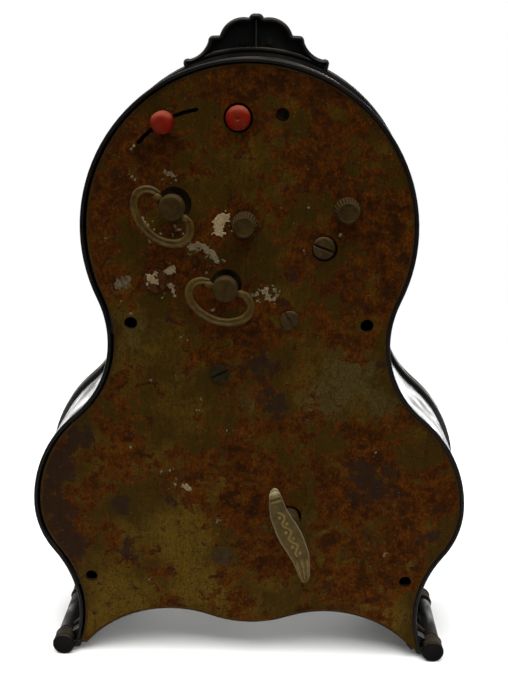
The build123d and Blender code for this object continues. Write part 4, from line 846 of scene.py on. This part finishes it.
LOOP_OUTER = (
    (6.4, -2.0), (8.8, -2.0), (10.9, -1.3), (13.0, 0.6), (14.1, 3.4), (13.6, 6.0), (11.8, 9.0),
    (8.6, 11.6), (4.4, 13.3), (0.4, 13.9), (-3.6, 13.6), (-7.4, 12.4), (-10.6, 10.2), (-12.4, 7.2),
    (-12.5, 4.0), (-10.9, 1.0), (-8.6, -0.8), (-6.4, -1.1),
)
LOOP_INNER = (
    (6.4, -0.1), (8.0, 0.3), (9.4, 0.9), (10.6, 2.1), (11.2, 4.0), (10.8, 5.8), (9.3, 7.7), (6.9, 9.4),
    (3.8, 10.6), (0.6, 11.1), (-2.6, 11.0), (-5.6, 10.0), (-8.2, 8.3), (-9.6, 6.2), (-9.6, 4.2),
    (-8.6, 2.6), (-7.4, 1.6), (-6.4, 1.1),
)
# (place between the outer and the inner edge, height over the middle of the strip)
LOOP_SECTION = (
    (0.0, -0.35), (0.0, 0.20), (0.08, 0.52), (0.20, 0.66), (0.32, 0.56), (0.42, 0.30), (0.52, 0.22),
    (0.62, 0.34), (0.72, 0.60), (0.84, 0.68), (0.94, 0.50), (1.0, 0.15), (1.0, -0.35), (0.88, -0.70),
    (0.12, -0.70),
)
# (place along the pin, radius) of the ear at one side of the hub
EAR = ((5.15, 0.7), (5.2, 1.0), (5.5, 1.2), (6.9, 1.2), (7.25, 1.0), (7.3, 0.6))
PIN_R = 0.75
PIN_END = 7.6


def key_loop(name, node, body, joint, wear):
    """The folding bow with a doubled ridge, an ear at each side of the hub, and its pin."""
    origin, pin = hinge_of(joint)
    along = Vector((pin.x, pin.z))
    away = Vector((pin.z, -pin.x))

    def lay(x, y, lift):
        return (origin[0] + along.x * x + away.x * y, origin[1] - lift, origin[2] + along.y * x + away.y * y)

    outer = flowing(LOOP_OUTER, 6)
    inner = flowing(LOOP_INNER, 6)
    length = len(outer) - 1
    rings = []
    for i, (far, near) in enumerate(zip(outer, inner)):
        swell = 0.75 + 0.25 * min(1.0, min(i, length - i) / 9)
        dent = noise.noise(Vector((i * 0.11, wear, 0.0))) * 0.10
        ring = []
        for share, up in LOOP_SECTION:
            x, y = (p + (q - p) * share for p, q in zip(far, near))
            ring.append(lay(x, y, up * swell + dent))
        rings.append(ring)
    shape = Shape().skin(rings)
    for side in (-1, 1):
        shape.skin([[lay(side * reach, y, up) for y, up in circle(radius, 24)] for reach, radius in EAR])
    shape.skin([[lay(x, y, up) for y, up in circle(PIN_R, 20)] for x in (-PIN_END, PIN_END)])
    piece(name, shape, body, LOOP_METAL, replaces=(node,))


def lever_knob():
    """Moulded red cap: a flattened dome on a long straight collar."""
    rear, front = depths_of("stop_lever_knob")
    profile = from_base(rear, [(0.0, 0.10), (1.2, 0.02), (2.2, 0.14), (3.0, 0.5), (3.6, 1.1), (3.95, 2.0),
                               (4.08, 3.1), (4.1, 4.4)])
    profile += from_base(front, [(4.05, -1.0), (3.9, -0.35), (3.6, -0.02), (1.0, 0.0)])

    def uneven(radius, depth, angle):
        return radius + 0.08 * radius / 4.1 * math.sin(3 * angle + 0.6) - 0.06 + 0.04 * math.sin(5 * angle)

    turned_piece("stop_lever_cap", "stop_lever_knob", "stop_lever", KNOB_RED, profile, 64,
                 uneven)


def push_button():
    """Low domed red button with a small dimple, on its collar."""
    rear, front = depths_of("push_button")
    profile = from_base(rear, [(0.0, 0.62), (0.35, 0.5), (0.7, 0.12), (1.0, 0.0), (2.0, 0.05), (3.0, 0.3),
                               (3.7, 0.75), (4.15, 1.4), (4.4, 2.2), (4.45, 3.0)])
    profile += from_base(front, [(4.45, -0.7), (6.1, -0.65), (6.2, -0.1), (6.0, 0.0), (3.0, 0.0)])
    turned_piece("push_button_cap", "push_button", "push_button", BUTTON_RED, profile, 64)


# ---- Screws -----------------------------------------------------------------
HEAD_CROWN = 0.25
HEAD_SUNK = 0.3
HEAD_STEPS = 22
SLOT_SHARE = 0.62
SLOT_BEVEL = 0.12


def head_strips(radius, half, deep):
    """(place across, drop below the crown) of a head's strips, from one edge over the slot to the other."""
    places = [part * radius for part in (-0.995, -0.95, -0.86, -0.72, -0.55, -0.38)]
    side = [(v, 0.0) for v in places if abs(v) > half + 0.2]
    wall = [(-half - SLOT_BEVEL, 0.0), (-half, SLOT_BEVEL), (-half, deep)]
    left = side + wall
    return left + [(-v, drop) for v, drop in left[::-1]]


def slotted_head(centre, radius, height, angle, slot_width=1.1):
    """A screw head built in strips across its slot, so that the slot's walls stand straight."""
    put = turned_frame(centre, angle)
    size = HEAD_STEPS + 1
    top = []
    strips = head_strips(radius, slot_width / 2, height * SLOT_SHARE)
    for v, drop in strips:
        reach = math.sqrt(max(radius ** 2 - v ** 2, 1e-4))
        for k in range(size):
            u = -reach * math.cos(math.pi * k / HEAD_STEPS)
            out = min(1.0, math.hypot(u, v) / radius)
            rise = height - HEAD_CROWN * out ** 2 - 0.35 * max(0.0, (out - 0.86) / 0.14) ** 2
            top.append(put(u, v, -(rise - drop if drop < rise else 0.05)))
    last = len(strips) - 1
    faces = []
    for i in range(last):
        for k in range(HEAD_STEPS):
            faces.append([i * size + k, i * size + k + 1, (i + 1) * size + k + 1, (i + 1) * size + k])
    edge = list(range(size)) + [i * size + HEAD_STEPS for i in range(1, last + 1)]
    edge += [last * size + k for k in range(HEAD_STEPS - 1, -1, -1)]
    edge += [i * size for i in range(last - 1, 0, -1)]
    skirt = [(top[i][0], HEAD_SUNK, top[i][2]) for i in edge]
    count = len(top)
    for n in range(len(edge)):
        m = (n + 1) % len(edge)
        faces.append([edge[n], edge[m], count + m, count + n])
    faces.append([count + n for n in range(len(edge))])
    return Shape().add(top + skirt, faces)


# place, radius, height, angle of the slot, material
SCREW_PLACES = {
    "upper": ((-27.8, 173.5), 4.1, 1.9, 21.0, SCREW_STEEL),
    "side": ((34.9, 160.4), 4.5, 1.7, 60.0, RUSTY_STEEL),
    "lower": ((-15.6, 145.5), 3.7, 1.0, 57.0, SCREW_STEEL),
}


def back_screws():
    """The three movement screws, the music screw and the flush rivet."""
    for label, (place, radius, height, angle, material) in SCREW_PLACES.items():
        shape = slotted_head(place, radius, height, angle)
        if label == "upper":
            shape.turned([(1.0, 0.05), (3.3, 0.05), (3.35, 0.2), (3.35, 0.95)], place, 40)
        head = piece(f"movement_screw_{label}", shape, "case", material)
    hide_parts("movement_screws")
    shape = slotted_head(centre_of("music_screw"), 3.85, 1.4, -25.0, slot_width=1.0)
    piece("music_screw_head", shape, "case", DARK_STEEL, replaces=("music_screw",))
    profile = [(0.0, -0.55), (1.6, -0.5), (3.0, -0.42), (3.9, -0.28), (4.2, -0.05), (4.2, 0.2)]
    turned_piece("music_rivet_head", "music_rivet", "case", RIVET_TIN, profile, 48)


# ---- Music handle -----------------------------------------------------------
LEAF_HALF = 20.9
LEAF_ANGLE = 72.2
LEAF_STEPS = 150
LEAF_WIDE = 32
LEAF_BEND = 0.35
LEAF_SUNK = 0.9
END_ROUNDING = 1.4
TIP_FROM, TIP_OVER = 16.5, 2.5
# (place along, place across) of one side; the other side is this one turned half round.
LEAF_SIDE = (
    (-20.9, -0.6), (-20.3, -1.3), (-17.0, -1.8), (-11.8, -2.1), (-7.5, -3.0), (-2.5, -4.3), (0.0, -4.7),
    (3.2, -4.95), (9.3, -5.0), (13.5, -4.1), (18.5, -2.6), (20.1, -1.6), (20.9, -0.6),
)


def leaf_sides(t):
    """Cross limits of the leaf at a place t along it, from the lower to the upper end."""
    def limit(at):
        for (a, va), (b, vb) in zip(LEAF_SIDE, LEAF_SIDE[1:]):
            if at <= b:
                share = (at - a) / (b - a)
                share = share * share * (3 - 2 * share) * 0.4 + share * 0.6
                return va + (vb - va) * share
        return LEAF_SIDE[-1][1]

    return limit(t), -limit(-t)


# A plain vine winds along the leaf, with a bead in each bend and three rings at the upper tip.
VINE_START, VINE_END = -9.6, 10.6
VINE_SWING = 1.0
VINE_LENGTH = 6.7
TIP_RINGS = (15.2, 17.2, 19.1)
FLUTES_BELOW = -10.5


def vine_line(t):
    """Place across the leaf of the vine's middle."""
    return VINE_SWING * math.sin(2 * math.pi * t / VINE_LENGTH) - 0.09 * t + 0.1


def leaf_height(t, cross, share):
    """Height of the pressed relief over the dished ground, 0 to 1, and how much of it is rim."""
    rim = min(1.0, max(0.0, (abs(share) - 0.74) / 0.2))
    relief = 0.0
    if VINE_START < t < VINE_END:
        steep = 1 + (2 * math.pi * VINE_SWING / VINE_LENGTH * math.cos(2 * math.pi * t / VINE_LENGTH)) ** 2
        gap = abs(cross - vine_line(t)) / math.sqrt(steep)
        relief = math.exp(-(gap / 0.50) ** 2)
        bend = VINE_LENGTH / 4 + VINE_LENGTH / 2 * round((t - VINE_LENGTH / 4) / (VINE_LENGTH / 2))
        bead = math.hypot(t - bend, cross + vine_line(bend) * 0.8 + 0.16 * bend)
        relief = max(relief, math.exp(-(bead / 0.75) ** 4))
    if t < FLUTES_BELOW:
        flute = 0.5 + 0.5 * math.cos(share * 3 * math.pi)
        relief = max(relief, 0.7 * flute * min(1.0, (FLUTES_BELOW - t) / 2))
    for place in TIP_RINGS:
        relief = max(relief, 0.9 * math.exp(-((t - place) / 0.5) ** 2))
    return relief * (1 - rim), rim


def music_leaf():
    """The stamped turning handle with a raised rim, a vine and a thick rounded upper tip."""
    rear, front = depths_of("music_handle")
    put = turned_frame(centre_of("music_arbor"), LEAF_ANGLE)
    shares = [-1 + 2 * k / LEAF_WIDE for k in range(LEAF_WIDE + 1)]
    marks = {"relief": [], "rim": [], "tip": []}
    rings = []
    for i in range(LEAF_STEPS + 1):
        t = -LEAF_HALF + 2 * LEAF_HALF * i / LEAF_STEPS
        low, high = leaf_sides(t)
        end = max(0.0, 1 - ((LEAF_HALF - abs(t)) / END_ROUNDING)) ** 2
        middle, half = (low + high) / 2, (high - low) / 2 * math.sqrt(max(0.05, 1 - end))
        tip = max(0.0, min(1.0, (t - TIP_FROM) / TIP_OVER))
        bend = LEAF_BEND * (t / LEAF_HALF) ** 2
        ring = []
        for share in shares:
            cross = middle + share * half
            relief, rim = leaf_height(t, cross, share)
            lift = 0.15 + 0.55 * relief + 0.75 * rim + 0.6 * tip * (1 - share ** 2)
            lift *= 1 - 0.5 * max(0.0, (abs(share) - 0.93) / 0.07) ** 2
            ring.append(put(t, cross, rear + LEAF_SUNK - lift - bend))
            for label, value in zip(marks, (relief, rim, tip)):
                marks[label].append(value)
        for share in shares[::-1]:
            dish = 0.2 * (1 - share ** 2)
            ring.append(put(t, middle + share * half * 0.96, front - LEAF_SUNK + dish - bend))
            for label, value in zip(marks, (0.3, 1.0, 0.0)):
                marks[label].append(value)
        rings.append(ring)
    shape = Shape().skin(rings)
    piece("music_leaf", shape, "music_key", LEAF, replaces=("music_handle",), marks=marks)


def music_boss():
    """Post under the leaf with a knurled collar near the plate."""
    under = depths_of("music_handle")[1]
    last = depths_of("music_arbor")[1]
    profile = from_base(under, [(0.0, -1.2), (1.9, -1.1), (2.5, -0.5), (2.6, 0.2)])
    profile += [(2.6, -6.9), (3.3, -6.6), (3.75, -6.1), (3.9, -5.4), (3.9, -2.2), (3.6, -1.8), (3.6, 2.2),
                (2.4, 2.4)]
    profile += from_base(last, [(2.4, -3.0), (1.2, -2.6), (1.2, 0.0)])
    turned_piece("music_boss", "music_arbor", "music_key", KEY_METAL, profile, 120,
                 fluted(20, 0.3, -6.0, -2.3))


# ---- Paint residue ----------------------------------------------------------
RAGGED = 0.50
BARE_BELOW = 0.32


def paint_patch(shape, bodies, blobs, seed, body=0.5, base=-0.02, thick=0.35, cell=0.14):
    """A ragged film of paint made where a few round blobs, broken by noise, overlap."""
    low_x, low_z = (min(blob[k] - blob[2] for blob in blobs) - 1 for k in (0, 1))
    high_x, high_z = (max(blob[k] + blob[2] for blob in blobs) + 1 for k in (0, 1))
    columns = int((high_x - low_x) / cell)
    rows = int((high_z - low_z) / cell)
    level = {}
    for i in range(columns + 1):
        for j in range(rows + 1):
            x, z = low_x + i * cell, low_z + j * cell
            rough = noise.fractal(Vector((x * 0.9, z * 0.9, seed)), 1.0, 2.0, 4) * RAGGED
            inside = sum(math.exp(-1.6 * (math.dist((x, z), (bx, bz)) / r) ** 2) for bx, bz, r in blobs)
            level[i, j] = min(inside, 1.3) + rough - BARE_BELOW
    used = {}
    faces = []
    for i in range(columns):
        for j in range(rows):
            corners = [(i, j), (i + 1, j), (i + 1, j + 1), (i, j + 1)]
            if sum(level[c] for c in corners) > 0:
                faces.append([used.setdefault(c, len(used)) for c in corners])
    points = []
    for i, j in used:
        x, z = low_x + i * cell, low_z + j * cell
        lift = min(1.0, max(0.0, level[i, j]) * 3.0)
        crumble = 0.6 + 0.4 * noise.noise(Vector((x * 1.7, z * 1.7, seed + 4)))
        points.append((x, base - thick * math.sqrt(lift) * crumble, z))
    shape.add(points, faces)
    bodies += [body] * len(points)


# How thick the paint is, and the (x, z, radius) of the blobs that make up each patch.
PLATE_PAINT = (
    (1.0, [(8.8, 184.4, 1.9), (10.4, 183.8, 2.1), (11.2, 182.0, 2.0), (11.2, 180.0, 1.8),
           (10.4, 178.6, 1.6)]),
    (0.25, [(21.6, 173.4, 1.5), (19.4, 173.8, 1.5), (17.2, 173.6, 1.4), (15.2, 172.4, 1.7)]),
    (0.4, [(14.2, 171.4, 1.6), (12.8, 169.8, 1.6), (12.0, 168.2, 1.2)]),
    (0.7, [(28.8, 164.6, 1.8), (30.4, 163.9, 1.2)]),
    (0.4, [(29.4, 158.2, 1.2), (28.2, 156.4, 1.0), (27.8, 154.6, 0.7), (31.2, 158.8, 0.9)]),
    (0.35, [(-6.2, 156.8, 1.7), (-7.6, 154.4, 1.3), (-3.2, 155.8, 0.9), (-9.6, 153.6, 0.9)]),
    (0.15, [(-1.4, 155.2, 0.8), (-9.8, 157.2, 1.0), (-10.6, 155.0, 0.8)]),
    (0.2, [(29.2, 200.2, 1.0), (27.6, 199.6, 0.9), (30.6, 200.8, 0.7), (26.6, 197.8, 0.6)]),
    (0.3, [(42.6, 199.0, 0.8), (41.6, 198.0, 0.6)]),
    (0.45, [(24.6, 75.6, 1.3), (23.4, 75.0, 1.1), (25.8, 76.8, 0.8), (24.4, 77.0, 0.7)]),
    (0.3, [(29.0, 77.0, 0.8)]),
    (0.5, [(39.3, 183.9, 0.7), (38.3, 182.4, 0.6), (37.2, 181.0, 0.6), (35.0, 179.6, 0.5),
           (32.7, 178.2, 0.5)]),
    (0.3, [(27.4, 181.1, 0.6), (26.0, 179.8, 0.5), (24.2, 178.3, 0.6)]),
    (0.6, [(41.6, 210.0, 0.6), (42.5, 209.2, 0.5)]),
    (0.0, [(47.2, 159.4, 2.4), (49.4, 158.0, 1.4), (45.2, 161.0, 1.4)]),
)
SPECKS = (
    (46.4, 92.6), (31.0, 83.2), (34.2, 82.8), (28.6, 79.6), (13.4, 149.0), (26.0, 138.2), (23.4, 137.4),
    (-22.0, 188.4), (15.6, 163.6), (9.0, 168.0), (-24.4, 109.8), (-50.2, 92.0), (12.2, 61.4),
    (-55.4, 47.2), (-12.0, 188.0), (20.2, 108.6), (18.6, 113.8), (37.8, 120.8), (8.2, 100.6),
    (40.6, 34.2), (-33.8, 178.4), (-20.4, 172.2), (52.6, 176.4), (44.6, 147.6), (48.2, 152.2),
    (36.6, 174.8),
)


def paint_residue():
    """The patches and specks of old paint on the plate, and two more on a sunk screw."""
    shape = Shape()
    bodies = []
    for n, (body, blobs) in enumerate(PLATE_PAINT):
        paint_patch(shape, bodies, blobs, seed=n * 3.7, body=body, thick=0.1 + 0.35 * body)
    chance = random.Random(11)
    for n, (x, z) in enumerate(SPECKS):
        size = chance.uniform(0.3, 0.7)
        drift = (x + chance.uniform(-0.5, 0.5), z + chance.uniform(-0.5, 0.5), size * 0.7)
        paint_patch(shape, bodies, [(x, z, size), drift], seed=n * 1.3 + 50, body=chance.uniform(0.0, 0.35),
                    thick=0.15, cell=0.12)
    for blobs in ([(36.6, 161.6, 1.9), (35.0, 160.4, 1.2)], [(34.6, 163.4, 0.9), (37.8, 159.4, 0.8)]):
        paint_patch(shape, bodies, blobs, seed=77.0, body=0.7, base=-1.72, thick=0.25)
    piece("paint_residue", shape, "case", PAINT, marks={"body": bodies})


# ---- Dial side --------------------------------------------------------------
DIAL_AT = centre_of("dial")
DIAL_FACE = depths_of("dial")[1]
NUMERAL_R = 36.0
NUMERAL_SIZE = 9.5
TRACK_R = 44.5
TRACK_WIDTH = 1.9
HOUR_RING_R = 29.5
# (distance inside the case line, width) of each gilt line
GILT_LINES = ((8.2, 1.0), (10.0, 0.4))


def dial_numerals():
    """Plain numerals 1 to 12, upright, in one thin mesh."""
    shape = Shape()
    for hour in range(1, 13):
        curve = bpy.data.curves.new(f"numeral_{hour}", "FONT")
        curve.body = str(hour)
        curve.align_x = "CENTER"
        curve.align_y = "CENTER"
        curve.size = NUMERAL_SIZE
        curve.extrude = 0.05
        curve.offset = 0.12
        text = bpy.data.objects.new(f"numeral_{hour}", curve)
        flat = bpy.data.meshes.new_from_object(text)
        angle = math.radians(90 - hour * 30)
        x = DIAL_AT[0] + NUMERAL_R * math.cos(angle)
        z = DIAL_AT[1] + NUMERAL_R * math.sin(angle)
        points = [(x + v.co.x, DIAL_FACE + 0.04 + v.co.z, z + v.co.y) for v in flat.vertices]
        shape.add(points, [list(p.vertices) for p in flat.polygons])
        bpy.data.meshes.remove(flat)
        bpy.data.objects.remove(text)
        bpy.data.curves.remove(curve)
    piece("dial_numerals", shape, "case", INK)


def minute_track():
    """Sixty ticks, every fifth one longer and bolder, between three fine rings."""
    shape = Shape()
    for minute in range(60):
        angle = math.radians(minute * 6)
        length, width = (3.0, 0.8) if minute % 5 == 0 else (1.8, 0.35)
        run = [(DIAL_AT[0] + r * math.cos(angle), DIAL_AT[1] + r * math.sin(angle))
               for r in (TRACK_R - length, TRACK_R)]
        shape.swept(run, half_round(width, DIAL_FACE, DIAL_FACE + 0.08, steps=4), closed=False)
    for radius in (TRACK_R, TRACK_R - TRACK_WIDTH, HOUR_RING_R):
        line = half_round(0.3, DIAL_FACE, DIAL_FACE + 0.06, steps=4)
        shape.swept(circle(radius, 160, DIAL_AT), line)
    piece("minute_track", shape, "case", INK)


def turned_bezel():
    """Brass bezel with a rolled outer edge, a cove and a rounded inner edge."""
    rear, front = depths_of("bezel")
    profile = from_base(rear, [(45.1, 0.02), (52.0, 0.02), (52.0, 1.4), (51.8, 2.6), (51.2, 3.2), (50.9, 4.2),
                               (50.6, 5.6), (49.9, 7.0), (48.9, 8.2)])
    profile += from_base(front, [(47.8, -0.25), (46.8, 0.0), (45.9, -0.2), (45.3, -0.8), (45.1, -1.4)])
    rings = []
    for x, z in circle(1.0, 160):
        rings.append([(DIAL_AT[0] + r * x, depth, DIAL_AT[1] + r * z) for r, depth in profile])
    piece("bezel_turned", Shape().skin(rings, loop=True), "case", BRASS, replaces=("bezel",))


def gilt_lines():
    """Two gilt lines that follow the case inside the moulding."""
    panel = depths_of("front_panel")[1]
    shape = Shape()
    for distance, width in GILT_LINES:
        line = even(moved_out(CASE_LINE, -distance), 1.2)
        shape.swept(line, half_round(width, panel - 0.01, panel + 0.09, steps=4))
    piece("gilt_lines", shape, "case", GILT)


# (distance from the middle, height), turns, first angle and size of the scrolls of one spray
SCROLLS = (((30, 76), 1.6, 200, 9.5), ((44, 58), 1.3, 40, 7.0), ((22, 52), 1.2, 120, 5.5))
SCROLL_POINTS = 64


def gilt_sprays():
    """A pair of plain scrolled sprays under the dial, mirrored about the middle."""
    panel = depths_of("front_panel")[1]
    shape = Shape()
    for side in (-1, 1):
        for (out, up), turns, start, size in SCROLLS:
            line = []
            for k in range(SCROLL_POINTS):
                share = k / (SCROLL_POINTS - 1)
                angle = math.radians(start if side > 0 else 180 - start) + side * share * turns * 2 * math.pi
                radius = size * (1 - 0.86 * share)
                line.append((side * out + radius * math.cos(angle), up + radius * math.sin(angle)))
            shape.swept(line, half_round(1.1, panel - 0.01, panel + 0.16, steps=6), closed=False)
        for k in range(5):
            angle = math.radians(90 - side * (18 + k * 16))
            root = (side * 4, 44)
            tip = (root[0] + 19 * math.cos(angle), root[1] + 19 * math.sin(angle))
            middle = ((root[0] + tip[0]) / 2 + side * 1.2, (root[1] + tip[1]) / 2 + 1.5)
            leaf = flowing([root, middle, tip], 10)
            shape.swept(leaf, half_round(1.3, panel - 0.01, panel + 0.14, steps=6), closed=False)
    piece("gilt_sprays", shape, "case", GILT)


# ---- Camera, light and floor ------------------------------------------------
SENSOR = 36.0
LENS = 53.18
CAMERA_AT = (-12.83, BACK + 364.38, 246.84)
CAMERA_YAW, CAMERA_PITCH, CAMERA_ROLL = 1.682, 16.6, 0.277


def photographer():
    """Camera behind the object, a little above it, as in the photograph."""
    camera = bpy.data.objects.new("camera", bpy.data.cameras.new("camera"))
    bpy.context.scene.collection.objects.link(camera)
    camera.data.sensor_width = SENSOR
    camera.data.lens = LENS
    yaw, pitch, roll = (math.radians(angle) for angle in (CAMERA_YAW, CAMERA_PITCH, CAMERA_ROLL))
    behind = Matrix(((-1, 0, 0, 0), (0, 0, 1, 0), (0, 1, 0, 0), (0, 0, 0, 1)))
    turn = Matrix.Rotation(yaw, 4, "Y") @ Matrix.Rotation(-pitch, 4, "X") @ Matrix.Rotation(roll, 4, "Z")
    camera.matrix_world = Matrix.Translation(Vector(CAMERA_AT) * MM) @ behind @ turn
    bpy.context.scene.camera = camera


# Lights in metres and watts: place, size, power and the point that each one is aimed at.
MIDDLE = (0.0, 0.0, 0.12)
LIGHTS = {
    "top": ((0.05, 0.32, 1.35), (1.5, 1.2), 32.0, (0.0, 0.0, 0.0)),
    "key": ((-0.35, 0.95, 0.85), (0.6, 0.6), 2.0, MIDDLE),
    "left": ((1.10, 0.05, 0.40), (0.5, 0.9), 3.0, MIDDLE),
    "right": ((-1.10, 0.05, 0.40), (0.5, 0.9), 3.0, MIDDLE),
    "front_left": ((0.85, -1.35, 0.25), (1.2, 1.0), 14.0, MIDDLE),
    "front_right": ((-0.85, -1.35, 0.25), (1.2, 1.0), 21.0, MIDDLE),
}
GLOW = 0.16


def softbox(name, place, size, power, aim):
    light = bpy.data.lights.new(name, "AREA")
    light.shape = "RECTANGLE"
    light.size, light.size_y = size
    light.energy = power
    lamp = bpy.data.objects.new(name, light)
    bpy.context.scene.collection.objects.link(lamp)
    lamp.location = place
    lamp.visible_camera = False
    lamp.rotation_euler = (Vector(aim) - Vector(place)).to_track_quat("-Z", "Y").to_euler()


def studio():
    """White for the camera, a faint warm glow for everything else, and the softboxes."""
    world = bpy.data.worlds.new("studio")
    bpy.context.scene.world = world
    world.use_nodes = True
    nodes, links = world.node_tree.nodes, world.node_tree.links
    seen = nodes.new("ShaderNodeBackground")
    seen.inputs["Color"].default_value = (1.0, 1.0, 1.0, 1.0)
    seen.inputs["Strength"].default_value = 1.0
    glow = nodes["Background"]
    glow.inputs["Color"].default_value = (1.0, 0.98, 0.95, 1.0)
    glow.inputs["Strength"].default_value = GLOW
    path = nodes.new("ShaderNodeLightPath")
    choose = nodes.new("ShaderNodeMixShader")
    links.new(path.outputs["Is Camera Ray"], choose.inputs["Fac"])
    links.new(glow.outputs[0], choose.inputs[1])
    links.new(seen.outputs[0], choose.inputs[2])
    links.new(choose.outputs[0], nodes["World Output"].inputs["Surface"])
    for name, light in LIGHTS.items():
        softbox(name, *light)
    bpy.context.scene.view_settings.view_transform = "Standard"


FLOOR_SIDES = 96
FLOOR_RADII = (10, 200, 450, 900)


def floor():
    """A pale disc whose edge fades into the white round it."""
    ground = Shape()
    ground.skin([[(x, BACK - z, 0.0) for x, z in circle(r, FLOOR_SIDES)] for r in FLOOR_RADII], caps=False)
    middle = list(range(FLOOR_SIDES))
    mesh = bpy.data.meshes.new("floor")
    mesh.from_pydata([to_metres(p) for p in ground.points], [], ground.faces + [middle])
    f = Finish("pale_floor", specular=0.0)
    cloud = f.noise(120.0, detail=3, rough=0.5, seed=1.0)
    f.set("Base Color", f.mix(f.band(cloud, 0.3, 0.7), (0.93, 0.93, 0.92), (0.96, 0.96, 0.95)))
    f.set("Roughness", f.band(cloud, 0.3, 0.7, 0.80, 0.90))
    reach = f.node("VectorMath")
    reach.operation = "LENGTH"
    f.link(f.where, reach.inputs[0])
    f.set("Alpha", f.band(reach.outputs["Value"], 0.50, 0.11))
    mesh.materials.append(f.material)
    surface = bpy.data.objects.new("floor", mesh)
    bpy.context.scene.collection.objects.link(surface)


# ---- The whole scene --------------------------------------------------------
dress_frame()
case_beads()
plate_edge()
crest_casting()
runner_feet()
setting_knob("hand_set_knob_fluted", "hand_set_knob", "centre_assembly")
setting_knob("alarm_set_knob_fluted", "alarm_set_knob", "alarm_setting")
key_hub("time_key_boss", "time_key_hub", "time_key")
key_hub("alarm_key_boss", "alarm_key_hub", "alarm_key")
key_loop("time_key_bow", "time_key_loop", "time_loop", "time_loop_fold", 3.0)
key_loop("alarm_key_bow", "alarm_key_loop", "alarm_loop", "alarm_loop_fold", 9.0)
lever_knob()
push_button()
back_screws()
music_leaf()
music_boss()
paint_residue()
turned_bezel()
dial_numerals()
minute_track()
gilt_lines()
gilt_sprays()
photographer()
studio()
floor()
